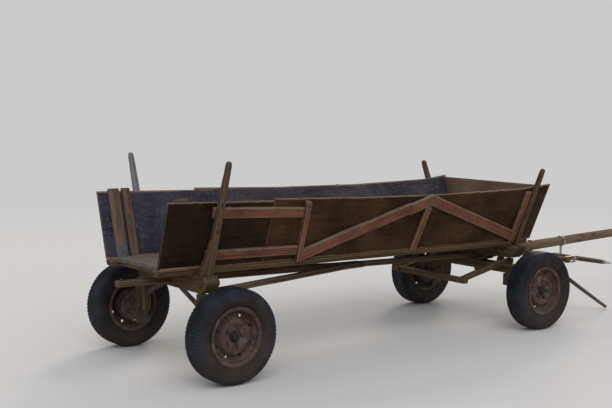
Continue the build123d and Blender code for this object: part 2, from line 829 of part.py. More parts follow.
with BuildPart() as pole:
    with BuildSketch(pole_plane(pole_start)):
        pole_section(pole_base_diameter / 2)
    pole_length = (pole_ahead - pole_start) * hypot(1, pole_slope)
    pole_taper = atan((pole_base_diameter - pole_tip_diameter) / 2 / pole_length)
    extrude(amount=pole_length, taper=degrees(pole_taper))
    for side in (1, -1):
        with Locations((front_x + pole_start, side * (pole_flat + pole_base_diameter / 2), pole_axle_z)):
            Box(
                2 * (jaw_nose + 20 - pole_start), pole_base_diameter, 3 * pole_base_diameter, mode=Mode.SUBTRACT
            )
    with Locations(Plane(origin=(front_x + jaw_bolt_x, 0, jaw_bolt_z), z_dir=(0, 1, 0))):
        Cylinder(jaw_bolt_radius + seat_gap, 4 * jaw_thick, mode=Mode.SUBTRACT)
    with Locations(Plane(origin=(front_x + evener_ahead, 0, pole_axle_z))):
        Cylinder(evener_pin_radius + seat_gap, 4 * pole_base_diameter, mode=Mode.SUBTRACT)
    with Locations(pole_plane(pole_ahead - pole_pin_back).origin):
        Cylinder(pole_pin_radius, 3 * pole_tip_diameter, mode=Mode.SUBTRACT)
save(pole.part, "pole")

# Irons on the pole: the bolt through the jaws, a band with its hanger, the evener's pin
evener_top = pole_plane(evener_ahead).origin.Z - pole_radius(evener_ahead) - evener_drop
evener_under = evener_top - evener_thick
pole_top = pole_plane(evener_ahead).origin.Z + pole_radius(evener_ahead)
with BuildPart() as pole_irons:
    with Locations(Plane(origin=(front_x + jaw_bolt_x, 0, jaw_bolt_z), z_dir=(0, 1, 0))):
        Cylinder(jaw_bolt_radius, 2 * (jaw_y + jaw_thick + 14))
    for side in (1, -1):
        outer_y = side * (jaw_y + jaw_thick + seat_gap)
        with BuildSketch(Plane(origin=(front_x + jaw_bolt_x, outer_y, jaw_bolt_z), z_dir=(0, side, 0))):
            RegularPolygon(jaw_bolt_radius * 1.8, 6)
        extrude(amount=9)
    with BuildSketch(pole_plane(band_ahead)):
        pole_section(pole_radius(band_ahead) + seat_gap + band_thick)
        pole_section(pole_radius(band_ahead) + seat_gap, Mode.SUBTRACT)
    extrude(amount=band_width)
    hanger_top = pole_plane(band_ahead).origin.Z - pole_radius(band_ahead) - band_thick / 2
    with Locations((front_x + band_ahead + band_width / 2, 0, hanger_top - hanger_drop / 2)):
        Box(band_width - 6, band_thick, hanger_drop)
    with BuildSketch(Plane(origin=(front_x + evener_ahead, 0, evener_under - 14))):
        Circle(evener_pin_radius)
    extrude(amount=pole_top + 4 - evener_under + 14)
    head_gap = seat_gap + 2 * evener_pin_radius * pole_slope
    with BuildSketch(Plane(origin=(front_x + evener_ahead, 0, pole_top + head_gap))):
        RegularPolygon(2 * evener_pin_radius, round_sides)
    extrude(amount=10)
    with BuildSketch(Plane(origin=(front_x + evener_ahead, 0, evener_under - 16))):
        RegularPolygon(2 * evener_pin_radius, 6)
    extrude(amount=14)
    with BuildSketch(Plane(origin=(front_x + evener_ahead, 0, evener_top + 1.5))):
        RegularPolygon(2.4 * evener_pin_radius, round_sides)
    extrude(amount=evener_drop - 3)
save(pole_irons.part, "pole_irons")


# Evener and swingletrees: tapered bars, deep in the middle and slim at their ends
def tapered_bar(x, y, half, mid_width, end_width, under, thick):
    """Bar across the cart with a belly at its middle."""
    with BuildPart() as bar:
        with BuildSketch(Plane(origin=(x, y, under))):
            Polygon(
                (-mid_width / 2, 0),
                (-end_width / 2, half),
                (end_width / 2, half),
                (mid_width / 2, 0),
                (end_width / 2, -half),
                (-end_width / 2, -half),
            )
        extrude(amount=thick)
        chamfer(bar.edges().filter_by(Axis.Z).group_by(Axis.Y)[0], 6)
        chamfer(bar.edges().filter_by(Axis.Z).group_by(Axis.Y)[-1], 6)
    return bar.part


evener_x = front_x + evener_ahead
with BuildPart() as evener:
    add(
        tapered_bar(evener_x, 0, evener_half, evener_mid_width, evener_end_width, evener_under, evener_thick)
    )
    with Locations((evener_x, 0, evener_top)):
        Hole(evener_pin_radius + running_clearance)
save(evener.part, "evener")

tree_pin_x = evener_x + tree_ahead
strap_back = evener_end_width / 2
with BuildPart() as evener_straps:
    for side in (1, -1):
        for under in (evener_top + seat_gap, evener_under - seat_gap - strap_thick):
            with BuildSketch(Plane(origin=(evener_x, side * tree_y, under))):
                with Locations(((tree_ahead - strap_back) / 2 + 8, 0)):
                    strap = Rectangle(tree_ahead + strap_back + 14, 34)
                chamfer(strap.vertices(), 10)
            extrude(amount=strap_thick)
        pin_foot = (tree_pin_x, side * tree_y, evener_under - seat_gap - strap_thick / 2)
        with BuildSketch(Plane(origin=pin_foot)):
            Circle(tree_pin_radius)
        extrude(amount=evener_thick + 2 * seat_gap + strap_thick)
save(evener_straps.part, "evener_straps")

tree_x = tree_pin_x + tree_eye_radius + tree_mid_width / 2 + strap_thick
tree_mid_z = (evener_top + evener_under) / 2
for side, label in ((1, "left"), (-1, "right")):
    tree_bar = tapered_bar(tree_x, side * tree_y, tree_half, tree_mid_width, tree_end_width,
                           tree_mid_z - tree_thick / 2, tree_thick)
    save(tree_bar, f"swingletree_{label}")
    with BuildPart() as tree_irons:
        with BuildSketch(Plane(origin=(tree_pin_x, side * tree_y, tree_mid_z - tree_eye / 2))):
            RegularPolygon(tree_eye_radius, round_sides)
            with Locations(((tree_eye_radius + strap_thick) / 2 - seat_gap, 0)):
                Rectangle(tree_eye_radius + strap_thick, tree_eye_radius)
            with Locations((tree_eye_radius + strap_thick / 2, 0)):
                Rectangle(strap_thick - 2 * seat_gap, 3 * tree_eye_radius)
            Circle(tree_pin_radius + running_clearance, mode=Mode.SUBTRACT)
        extrude(amount=tree_eye)
        for end in (1, -1):
            ring_y = side * tree_y + end * (tree_half + tree_ring_radius + 2 * tree_ring_wire + seat_gap)
            with BuildSketch(Plane(origin=(tree_x, ring_y, tree_mid_z - tree_ring_wire))):
                RegularPolygon(tree_ring_radius + tree_ring_wire, round_sides)
                RegularPolygon(tree_ring_radius - tree_ring_wire, round_sides, mode=Mode.SUBTRACT)
            extrude(amount=2 * tree_ring_wire)
            cap_y = side * tree_y + end * (tree_half + seat_gap + tree_ring_wire)
            with Locations((tree_x, cap_y, tree_mid_z)):
                Box(tree_end_width * 0.8, 2 * tree_ring_wire, tree_thick * 0.8)
    save(tree_irons.part, f"swingletree_irons_{label}")

# Prop stick, in many flats, and the iron arm on the axle beam that it hangs from
stick_length = hypot(stick_run, stick_rise)
stick_top = Vector(front_x + stick_foot_x - stick_run, -stick_y, stick_foot_z + stick_rise)
stick_axis = Vector(stick_run, 0, -stick_rise).normalized()
bolt_place = stick_top + stick_axis * stick_bolt_back
bolt_plane = Plane(origin=bolt_place, z_dir=(0, -1, 0))
with BuildPart() as stick:
    with BuildSketch(Plane(origin=stick_top, x_dir=(0, 1, 0), z_dir=stick_axis)):
        RegularPolygon(stick_half, 8, major_radius=False, rotation=22.5)
    extrude(amount=stick_length, taper=degrees(atan((stick_half - stick_tip_half) / stick_length)))
    with Locations(bolt_plane):
        Cylinder(stick_bolt_radius + seat_gap, 4 * stick_half, mode=Mode.SUBTRACT)
save(stick.part, "prop_stick")

arm_outer = stick_y - stick_half - seat_gap
arm_back = front_x + axle_beam_width / 2 + seat_gap
arm_nose = bolt_place.X + stick_arm_height / 2
arm_z = axle_beam_under + axle_beam_height / 2
with BuildPart() as stick_arm:
    with BuildSketch(Plane(origin=(arm_back, -arm_outer, arm_z), x_dir=(1, 0, 0), z_dir=(0, 1, 0))):
        Polygon((0, -stick_arm_height / 2), (0, stick_arm_height / 2),
                (arm_nose - arm_back, arm_z - bolt_place.Z + stick_arm_height / 2),
                (arm_nose - arm_back, arm_z - bolt_place.Z - stick_arm_height / 2))
    extrude(amount=stick_arm_thick)
    with BuildSketch(Plane(origin=(arm_back, 0, arm_z), x_dir=(0, 1, 0), z_dir=(1, 0, 0))):
        Polygon((-arm_outer, -stick_arm_height / 2), (-stick_arm_inner, -stick_arm_height / 2),
                (-stick_arm_inner, stick_arm_height / 2), (-arm_outer, stick_arm_height / 2))
    extrude(amount=stick_arm_thick)
    with BuildSketch(bolt_plane.offset(-stick_half - seat_gap - stick_arm_thick / 2)):
        Circle(stick_bolt_radius)
    extrude(amount=2 * stick_half + stick_arm_thick)
    with BuildSketch(bolt_plane.offset(stick_half + seat_gap)):
        RegularPolygon(1.8 * stick_bolt_radius, 6)
    extrude(amount=stick_bolt_radius)
save(stick_arm.part, "stick_arm")
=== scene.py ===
import math

import bmesh
import bpy
import numpy as np
from mathutils import Matrix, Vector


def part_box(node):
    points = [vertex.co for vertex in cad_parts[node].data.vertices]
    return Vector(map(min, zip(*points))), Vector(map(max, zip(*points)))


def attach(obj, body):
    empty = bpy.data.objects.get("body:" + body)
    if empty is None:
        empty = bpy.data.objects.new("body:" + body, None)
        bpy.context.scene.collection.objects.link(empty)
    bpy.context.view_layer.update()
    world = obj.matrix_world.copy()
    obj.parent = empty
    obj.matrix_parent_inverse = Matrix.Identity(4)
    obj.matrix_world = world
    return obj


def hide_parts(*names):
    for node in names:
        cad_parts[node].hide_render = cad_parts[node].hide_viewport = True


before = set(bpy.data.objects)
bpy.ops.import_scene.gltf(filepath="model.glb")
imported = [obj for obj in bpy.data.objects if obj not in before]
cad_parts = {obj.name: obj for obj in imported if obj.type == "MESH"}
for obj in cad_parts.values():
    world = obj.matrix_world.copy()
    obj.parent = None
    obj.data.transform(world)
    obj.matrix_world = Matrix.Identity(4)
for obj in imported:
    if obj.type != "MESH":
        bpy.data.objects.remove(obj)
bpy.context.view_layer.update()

# Tyres. Old cross-ply car tyres, about 60 cm across: the rear pair still has the blocks of a winter
# tread, the front pair is worn to a few shallow rings. Black rubber with a blue tint that is painted
# reflection of the sky, brown with mud on the side walls, pressed on to the rims by their own beads.
# Columns: radius, half width
tyre_outline = np.array([
    (0.166, 0.0), (0.166, 0.056), (0.178, 0.0575), (0.189, 0.0575), (0.206, 0.072), (0.238, 0.0835),
    (0.268, 0.0815), (0.287, 0.073), (0.296, 0.063), (0.2995, 0.05), (0.2995, 0.0),
])
widest_half = 0.0835
tread_shoulder, groove_shoulder = (0.27, 0.2955), (0.274, 0.286)
block_pitch_count = 76
block_groove, ring_groove = 0.0055, 0.003
zigzag_ring, zigzag_swing = 0.0255, 0.0028
worn_rings = (0.012, 0.033)
wall_ridges, ridge_width, ridge_height = (0.203, 0.212, 0.262), 0.0016, 0.0009
muddy_wall, mud_share = (0.222, 0.278), 0.85


def smooth_corners(points, rounds, closed):
    """Cuts every corner of a line at a quarter and three quarters of its sides, again and again."""
    for _ in range(rounds):
        after = np.roll(points, -1, axis=0) if closed else points[1:]
        before = points if closed else points[:-1]
        cut = np.stack([0.75 * before + 0.25 * after, 0.25 * before + 0.75 * after], axis=1).reshape(-1, 2)
        points = cut if closed else np.vstack([points[:1], cut, points[-1:]])
    return points


def spread(points, count):
    """The same line with its points at equal steps along it."""
    steps = np.hypot(*np.diff(points, axis=0).T)
    along = np.concatenate([[0.0], np.cumsum(steps)])
    places = np.linspace(0.0, along[-1], count)
    return np.stack([np.interp(places, along, points[:, k]) for k in (0, 1)], axis=1)


def joined_piece(name, grids):
    """One mesh from grids of points: each is (points, wraps down, wraps across, attributes).

    Point (i, j) of a grid is a corner of the four-sided faces round it. Rows that shrink to a point are
    merged, and the faces are turned to look outwards.
    """
    corners, quads, values, start = [], [], {}, 0
    for points, wraps_down, wraps_across, attributes in grids:
        rows, columns = points.shape[:2]
        index = np.arange(rows * columns).reshape(rows, columns) + start
        if wraps_down:
            index = np.vstack([index, index[:1]])
        if wraps_across:
            index = np.hstack([index, index[:, :1]])
        around = [index[:-1, :-1], index[:-1, 1:], index[1:, 1:], index[1:, :-1]]
        quads.append(np.stack(around, axis=-1).reshape(-1, 4))
        corners.append(points.reshape(-1, 3))
        for key, value in attributes.items():
            values.setdefault(key, []).append(value.reshape(rows * columns, -1))
        start += rows * columns
    corners, quads = np.vstack(corners), np.vstack(quads)
    mesh = bpy.data.meshes.new(name)
    mesh.vertices.add(len(corners))
    mesh.vertices.foreach_set("co", corners.ravel())
    mesh.loops.add(4 * len(quads))
    mesh.loops.foreach_set("vertex_index", quads.ravel())
    mesh.polygons.add(len(quads))
    mesh.polygons.foreach_set("loop_start", np.arange(0, 4 * len(quads), 4))
    mesh.update(calc_edges=True)
    for key, value in values.items():
        value = np.vstack(value)
        kind, field = ("FLOAT_VECTOR", "vector") if value.shape[1] == 3 else ("FLOAT", "value")
        mesh.attributes.new(key, kind, "POINT").data.foreach_set(field, value.ravel())
    shell = bmesh.new()
    shell.from_mesh(mesh)
    bmesh.ops.remove_doubles(shell, verts=shell.verts, dist=1e-6)
    bmesh.ops.recalc_face_normals(shell, faces=shell.faces)
    shell.to_mesh(mesh)
    shell.free()
    mesh.polygons.foreach_set("use_smooth", np.full(len(mesh.polygons), True))
    piece = bpy.data.objects.new(name, mesh)
    bpy.context.scene.collection.objects.link(piece)
    return piece


def around_axle(centre, radius, out, columns):
    """Points round an axle along Y, from the radius and the outward place of each row or point."""
    angle = np.linspace(0.0, 2.0 * np.pi, columns, endpoint=False)
    radius, out = np.broadcast_arrays(radius, out)
    x = centre[0] + radius * np.sin(angle)
    z = centre[2] + radius * np.cos(angle)
    return np.stack([x, centre[1] + out + 0.0 * angle, z], axis=-1)


def soft_step(value, low, high):
    """0 below low, 1 above high, and a smooth rise between."""
    part = np.clip((value - low) / (high - low), 0.0, 1.0)
    return part * part * (3.0 - 2.0 * part)


def tyre_points(centre, side, blocks):
    """Tyre as radius(angle, row): the smoothed outline, less grooves cut into the tread.

    A block tread is cut by leaning bars between its outer blocks, by ribs between its middle ones and by
    two zigzag rings; a worn one by plain rings. Fine ridges stand proud of both side walls.
    """
    half = smooth_corners(tyre_outline, 2, closed=False)
    outline = np.vstack([half, (half * (1, -1))[::-1][1:]])
    rows, columns = (104, 464) if blocks else (120, 220)
    line = spread(outline, rows)[:-1]
    angle = np.linspace(0.0, 2.0 * np.pi, columns, endpoint=False)[None, :]
    radius, out = line[:, :1], line[:, 1:]
    tread = soft_step(radius, *tread_shoulder)
    if blocks:
        across = np.abs(out) / widest_half
        lean = np.sign(out + 1e-9) * 6.0 * np.abs(out)
        pitch = np.mod(block_pitch_count * angle / (2.0 * np.pi) + lean + 0.5 * (out > 0), 1.0)
        bars = soft_step(np.abs(pitch - 0.5), 0.34, 0.4) * soft_step(across, 0.36, 0.42)
        inner = np.mod(pitch + 0.25, 1.0)
        ribs = soft_step(np.abs(inner - 0.5), 0.36, 0.42) * (1.0 - soft_step(across, 0.28, 0.34))
        zigzag = zigzag_swing * np.abs(np.mod(block_pitch_count * angle / np.pi, 2.0) - 1.0)
        rings = 1.0 - soft_step(np.abs(np.abs(out) - zigzag_ring - zigzag), 0.0016, 0.0036)
        cut = np.clip(bars + ribs + rings, 0.0, 1.0) * soft_step(radius, *groove_shoulder)
        depth = block_groove * cut
    else:
        rings = sum(1.0 - soft_step(np.abs(np.abs(out) - place), 0.0012, 0.003) for place in worn_rings)
        depth = ring_groove * rings * tread + 0.0 * angle
    ridges = sum(np.exp(-((radius - place) / ridge_width) ** 2) for place in wall_ridges)
    proud = ridge_height * ridges * (1.0 - tread) * np.sign(out)
    inset = 0.0004
    sunk = depth / np.hypot(radius, out)
    points = around_axle(centre, radius * (1.0 - sunk), side * (out * (1.0 - 0.4 * sunk) - inset), columns)
    points[..., 1] += side * proud
    return points


class Pattern:
    """What a shader node puts out: it adds, takes away, multiplies and divides like a number."""

    def __init__(self, socket):
        self.socket = socket
        self.tree = socket.id_data

    def __add__(self, other):
        return worked("ADD", self, other)

    def __sub__(self, other):
        return worked("SUBTRACT", self, other)

    def __rsub__(self, other):
        return worked("SUBTRACT", other, self)

    def __mul__(self, other):
        return worked("MULTIPLY", self, other)

    def __truediv__(self, other):
        return worked("DIVIDE", self, other)


def put(socket, value):
    """Links a pattern to a socket, or sets a plain number, place or colour on it."""
    if isinstance(value, Pattern):
        value.tree.links.new(value.socket, socket)
    else:
        socket.default_value = (*value, 1.0) if socket.type == "RGBA" else value


def node(tree, kind, output, inputs=None, **settings):
    """Adds a shader node with its settings and inputs, and gives back the output asked for."""
    made = tree.nodes.new(f"ShaderNode{kind}")
    for key, value in settings.items():
        setattr(made, key, value)
    for key, value in (inputs or {}).items():
        put(made.inputs[key], value)
    return Pattern(made.outputs[output])


def worked(operation, *numbers):
    """One step of arithmetic on patterns and plain numbers."""
    tree = next(number.tree for number in numbers if isinstance(number, Pattern))
    return node(tree, "Math", 0, dict(enumerate(numbers)), operation=operation)


def larger(first, second):
    """The larger of two numbers."""
    return worked("MAXIMUM", first, second)


def mixed(share, first, second):
    """First colour where the share is 0, second where it is 1."""
    return node(share.tree, "Mix", 2, {0: share, 6: first, 7: second}, data_type="RGBA")


def noise(place, scale, detail=4.0, roughness=0.55, distortion=0.0):
    """Cloudy value between 0 and 1 at a place."""
    inputs = {"Vector": place, "Scale": scale, "Detail": detail, "Roughness": roughness,
              "Distortion": distortion}
    return node(place.tree, "TexNoise", "Fac", inputs)


def rising(value, low, high):
    """0 below low, 1 above high, smooth between."""
    inputs = {"Value": value, "From Min": low, "From Max": high}
    return node(value.tree, "MapRange", 0, inputs, interpolation_type="SMOOTHSTEP")


def here(tree):
    """The place on the object."""
    return node(tree, "TexCoord", "Object")


def measured(tree, kind, axis):
    """One of the three numbers of the object's own place or facing."""
    return node(tree, "SeparateXYZ", axis, {0: node(tree, "TexCoord", kind)})


def new_material(name, sheen=0.22):
    """Material that holds no more than its shader; returns it and its tree."""
    material = bpy.data.materials.new(name)
    material.use_nodes = True
    tree = material.node_tree
    tree.nodes.clear()
    shader = tree.nodes.new("ShaderNodeBsdfPrincipled")
    shader.name = "surface"
    shader.inputs["Specular IOR Level"].default_value = sheen
    out = tree.nodes.new("ShaderNodeOutputMaterial")
    tree.links.new(shader.outputs[0], out.inputs["Surface"])
    return material, tree


def coated(material, colour, roughness, height, strength, depth):
    """Puts colour and roughness on a material's shader, and a bump of some depth from its heights."""
    tree = material.node_tree
    bump = node(tree, "Bump", 0, {"Height": height, "Strength": strength, "Distance": depth})
    for key, value in (("Base Color", colour), ("Roughness", roughness), ("Normal", bump)):
        put(tree.nodes["surface"].inputs[key], value)
    return material


def new_group(name, **inputs):
    """Node group with named numbers to set; returns its tree and what each material gives for them."""
    tree = bpy.data.node_groups.new(name, "ShaderNodeTree")
    for label, value in inputs.items():
        socket = tree.interface.new_socket(name=label, in_out="INPUT", socket_type="NodeSocketFloat")
        socket.default_value = value
    given = tree.nodes.new("NodeGroupInput").outputs
    return tree, *[Pattern(given[label]) for label in inputs]


def closed_group(tree, **results):
    """The group with its named results, each a colour or a number as it is worked out."""
    for label, value in results.items():
        kind = "Color" if value.socket.type == "RGBA" else "Float"
        tree.interface.new_socket(name=label, in_out="OUTPUT", socket_type=f"NodeSocket{kind}")
    ends = tree.nodes.new("NodeGroupOutput").inputs
    for label, value in results.items():
        put(ends[label], value)
    return tree


def placed(tree, group, **values):
    """A group in a material, with the material's own values; returns its results by name."""
    made = tree.nodes.new("ShaderNodeGroup")
    made.node_tree = group
    for label, value in values.items():
        made.inputs[label].default_value = value
    return {end.name: Pattern(end) for end in made.outputs}


def dirt_group():
    """Road dirt: more of it near the ground and on faces that look up, broken up by two noises."""
    tree, reach_up, upward, amount = new_group("Road dirt", Reach=0.35, Upward=0.5, Amount=0.5)
    place = here(tree)
    near_ground = larger(1.0 - measured(tree, "Object", "Z") / reach_up, 0.0)
    on_top = rising(measured(tree, "Normal", "Z"), 0.2, 0.9) * upward
    broken = noise(place, 9.0, 6.0, 0.65) * 0.9 + noise(place, 120.0, 3.0, 0.6) * 0.35
    lifted = larger(near_ground, on_top) * 0.8 + (broken - 0.75)
    return closed_group(tree, Mask=rising(lifted, 0.0, 0.55) * amount)


road_dirt = dirt_group()


def dirt(tree, reach_up, upward, amount):
    """How much dirt lies on a place: how high it reaches, how it settles on top, and how thick it is."""
    return placed(tree, road_dirt, Reach=reach_up, Upward=upward, Amount=amount)["Mask"]


def rubber_material():
    """Black rubber with a painted blue sky reflection, brown with mud on the walls, earth in hollows, fine
    cracks.
    """
    material, tree = new_material("tyre_rubber", sheen=0.14)
    place = here(tree)
    patches = rising(noise(place, 6.0, 5.0, 0.6), 0.35, 0.7)
    fine = noise(place, 210.0, 4.0, 0.7)
    # Painted reflection: the blue in the rubber's tones stands for sky seen in it.
    black = mixed(patches, (0.006, 0.008, 0.012), (0.021, 0.024, 0.036))
    mud = mixed(patches, (0.018, 0.012, 0.01), (0.046, 0.031, 0.024))
    colour = mixed(node(tree, "Attribute", "Fac", attribute_name="wall"), black, mud)
    earth = mixed(fine, (0.028, 0.02, 0.015), (0.066, 0.048, 0.036))
    covered = dirt(tree, 0.4, 0.1, 0.5)
    cracks = node(tree, "TexVoronoi", 0, {"Vector": place, "Scale": 260.0}, feature="DISTANCE_TO_EDGE")
    height = rising(cracks, 0.0, 0.06) * 0.25 + fine
    return coated(material, mixed(covered, colour, earth), covered * 0.25 + 0.66, height, 0.35, 0.0012)


def wheel_centre(name):
    """Middle of a wheel, and 1 for a left or -1 for a right one."""
    low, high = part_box(f"tyre_{name}")
    return (low + high) / 2, 1 if "left" in name else -1


wheels = {name: wheel_centre(name) for name in ("rear_left", "rear_right", "front_left", "front_right")}


def fitted(piece, finish, body, cad_node=None):
    """Gives a piece its finish and body, and hides the CAD solid that it stands for, if it is the main one.
    """
    piece.data.materials.clear()
    piece.data.materials.append(finish)
    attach(piece, body)
    if cad_node:
        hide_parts(cad_node)


rubber = rubber_material()
for name, (centre, side) in wheels.items():
    points = tyre_points(centre, side, "rear" in name)
    from_axle = np.hypot(points[..., 0] - centre[0], points[..., 2] - centre[2])
    wall = mud_share * (1.0 - soft_step(from_axle, *muddy_wall))
    tyre = joined_piece(f"tyre_{name}_rubber", [(points, True, True, {"wall": wall})])
    fitted(tyre, rubber, f"wheel_{name}", f"tyre_{name}")

# Rims. Pressed steel car rims, two rolled flanges and a drop centre, with a domed disc welded in
# that has a ring of small hand holes. The old paint is nearly all rust, with some dull grey left.
# Columns: radius, outward place
rim_outline = np.array([
    (0.1865, 0.0635), (0.1865, 0.059), (0.166, 0.058), (0.165, 0.034), (0.148, 0.024), (0.148, -0.014),
    (0.165, -0.026), (0.165, -0.058), (0.186, -0.059), (0.1865, -0.0635), (0.179, -0.064),
    (0.16, -0.061), (0.16, -0.024), (0.144, -0.011), (0.144, 0.021), (0.16, 0.032),
    (0.16, 0.061), (0.179, 0.064),
])
disc_outline = np.array([
    (0.145, 0.018), (0.145, 0.006), (0.138, 0.006), (0.121, 0.012), (0.111, 0.028), (0.104, 0.038),
    (0.096, 0.04), (0.08, 0.0395), (0.074, 0.027), (0.068, 0.0258), (0.033, 0.0258), (0.033, 0.0308),
    (0.068, 0.0308), (0.0735, 0.033), (0.078, 0.044), (0.097, 0.045), (0.106, 0.043), (0.114, 0.033),
    (0.124, 0.018), (0.138, 0.0115), (0.142, 0.018),
])
hand_holes, hand_hole_circle, hand_hole_radius = 8, 0.133, 0.0095
hand_hole_outline = np.array([(0.0, -0.02), (hand_hole_radius, -0.02), (hand_hole_radius, 0.08), (0.0, 0.08)])


def turned(centre, side, outline, columns, closed=False):
    """Grid of an outline turned about an axle, out to the left (side 1) or to the right (side -1)."""
    return around_axle(centre, outline[:, :1], side * outline[:, 1:], columns), closed, True, {}


def ring_middles(centre, radius, count, first):
    """Middles of a ring of holes or studs, the first of them that share of a step past the top."""
    turns = 2.0 * math.pi * (np.arange(count) + first) / count
    return [(centre[0] + radius * math.sin(turn), centre[1], centre[2] + radius * math.cos(turn))
            for turn in turns]


def carved(piece, cutter):
    """Takes the cutter's shape out of a piece for good."""
    modifier = piece.modifiers.new("carve", "BOOLEAN")
    modifier.object, modifier.operation, modifier.solver = cutter, "DIFFERENCE", "EXACT"
    shape = bpy.data.meshes.new_from_object(piece.evaluated_get(bpy.context.evaluated_depsgraph_get()))
    piece.modifiers.clear()
    piece.data = shape
    bpy.data.objects.remove(cutter)


def smooth_by_angle(piece, degrees):
    """Round faces shade smooth, and edges sharper than the angle stay crisp."""
    piece.data.polygons.foreach_set("use_smooth", np.full(len(piece.data.polygons), True))
    piece.data.set_sharp_from_angle(angle=math.radians(degrees))


def scaled(place, by):
    """A place, or a plain direction, times a pattern."""
    return node(by.tree, "VectorMath", 0, {0: place, "Scale": by}, operation="SCALE")


def rust_group():
    """Rust: three browns in clouds, with pits and flakes; the mask is where the paint is gone."""
    tree, scale, bare = new_group("Rust", Scale=1.0, Bare=0.5)
    place = scaled(here(tree), scale)
    broad = noise(place, 11.0, 6.0, 0.62, 0.4)
    fine = noise(place, 95.0, 5.0, 0.7)
    pits = node(tree, "TexVoronoi", "Distance", {"Vector": place, "Scale": 170.0})
    brown = mixed(rising(fine, 0.35, 0.68), (0.026, 0.015, 0.012), (0.084, 0.046, 0.036))
    brown = mixed(rising(broad, 0.45, 0.75), brown, (0.11, 0.081, 0.07))
    mask = rising(fine * 0.35 + broad - (1.15 - bare), -0.06, 0.06)
    return closed_group(tree, Color=brown, Mask=mask, Height=rising(pits, 0.0, 0.35) * 0.4 + fine)


rust = rust_group()


def rusty_material(name, paint, bare, scale=1.0, metallic=0.0):
    """Steel under the last of its paint: the rust group decides where each shows."""
    material, tree = new_material(name)
    tree.nodes["surface"].inputs["Metallic"].default_value = metallic
    rusty = placed(tree, rust, Scale=scale, Bare=bare)
    shade = noise(here(tree), 30.0, 4.0)
    coat = mixed(shade, [0.75 * value for value in paint], [1.2 * value for value in paint])
    colour = mixed(rusty["Mask"], coat, rusty["Color"])
    colour = mixed(dirt(tree, 0.4, 0.35, 0.4), colour, (0.105, 0.08, 0.058))
    return coated(material, colour, rusty["Mask"] * 0.28 + 0.52, rusty["Height"] * rusty["Mask"], 0.5, 0.0012)


rim_finish = rusty_material("rim_steel", (0.095, 0.082, 0.078), 0.6)
for name, (centre, side) in wheels.items():
    grids = []
    for outline, count in ((rim_outline, 60), (disc_outline, 64)):
        line = smooth_corners(outline, 2, closed=True)
        line = spread(np.vstack([line, line[:1]]), count)[:-1]
        grids.append(turned(centre, side, line, 144, closed=True))
    barrel = joined_piece(f"rim_{name}_steel", grids[:1])
    disc = joined_piece(f"rim_{name}_disc", grids[1:])
    holes = [turned(middle, side, hand_hole_outline, 20)
             for middle in ring_middles(centre, hand_hole_circle, hand_holes, 0.5)]
    carved(disc, joined_piece("hand_holes", holes))
    for piece, cad_node in ((barrel, f"rim_{name}"), (disc, None)):
        smooth_by_angle(piece, 50)
        fitted(piece, rim_finish, f"wheel_{name}", cad_node)

# Hubs. A cast brake drum and boss on each wheel, with five hexagon nuts on their studs and a pressed
# grease cap, all rusty; turned, drilled and bolted through the disc of the rim.
# Columns: radius, outward place
drum_outline = np.array([
    (0.0175, -0.0615), (0.032, -0.0615), (0.032, 0.006), (0.1035, 0.006), (0.1035, -0.0575),
    (0.1115, -0.0575), (0.1118, -0.03), (0.109, -0.028), (0.109, -0.006), (0.1118, -0.004),
    (0.1118, 0.015), (0.106, 0.0168), (0.07, 0.025), (0.03, 0.0254), (0.0, 0.0254),
])
cap_outline = np.array([
    (0.0, 0.025), (0.0325, 0.025), (0.0325, 0.0375), (0.029, 0.04), (0.0262, 0.042), (0.025, 0.052),
    (0.02, 0.0575), (0.01, 0.0585), (0.0, 0.0585),
])
nut_outline = np.array([
    (0.0, 0.0311), (0.0118, 0.0311), (0.0118, 0.0395), (0.01, 0.0425), (0.0062, 0.0425), (0.006, 0.05),
    (0.005, 0.051), (0.0, 0.051),
])
studs, stud_circle = 5, 0.057
hub_finish = rusty_material("hub_iron", (0.04, 0.034, 0.032), 0.62, scale=1.4)
cap_finish = rusty_material("greasy_cap", (0.014, 0.012, 0.012), 0.38, scale=2.0)
for name, (centre, side) in wheels.items():
    nuts = [turned(middle, side, nut_outline, 6) for middle in ring_middles(centre, stud_circle, studs, 0.25)]
    hub = joined_piece(f"hub_{name}_iron", [turned(centre, side, drum_outline, 96)] + nuts)
    cap = joined_piece(f"hub_cap_{name}", [turned(centre, side, cap_outline, 48)])
    for piece, finish, cad_node in ((hub, hub_finish, f"hub_{name}"), (cap, cap_finish, None)):
        smooth_by_angle(piece, 32)
        fitted(piece, finish, f"wheel_{name}", cad_node)

# Bolsters, drop blocks and axle beam. Heavy squared hardwood, hewn and sawn by hand, grey-tan with
# weather and a little green where it stays damp. The bolsters taper to their tips, and the drop blocks
# are bolted under them on end, so that the car wheels' stubs come low enough.
rear_x, front_x = wheels["rear_left"][0][0], wheels["front_left"][0][0]


def ripple(along, across, seed, waves=7):
    """Smooth random value about 0 and within 1, as a sum of sines in turned directions."""
    random = np.random.default_rng(seed)
    total = 0.0
    for _ in range(waves):
        turn, phase = random.uniform(0.0, 2.0 * np.pi, 2)
        pace = random.uniform(0.5, 2.0)
        total = total + np.sin(pace * (along * math.cos(turn) + across * math.sin(turn)) + phase)
    return total / math.sqrt(waves) / 1.5


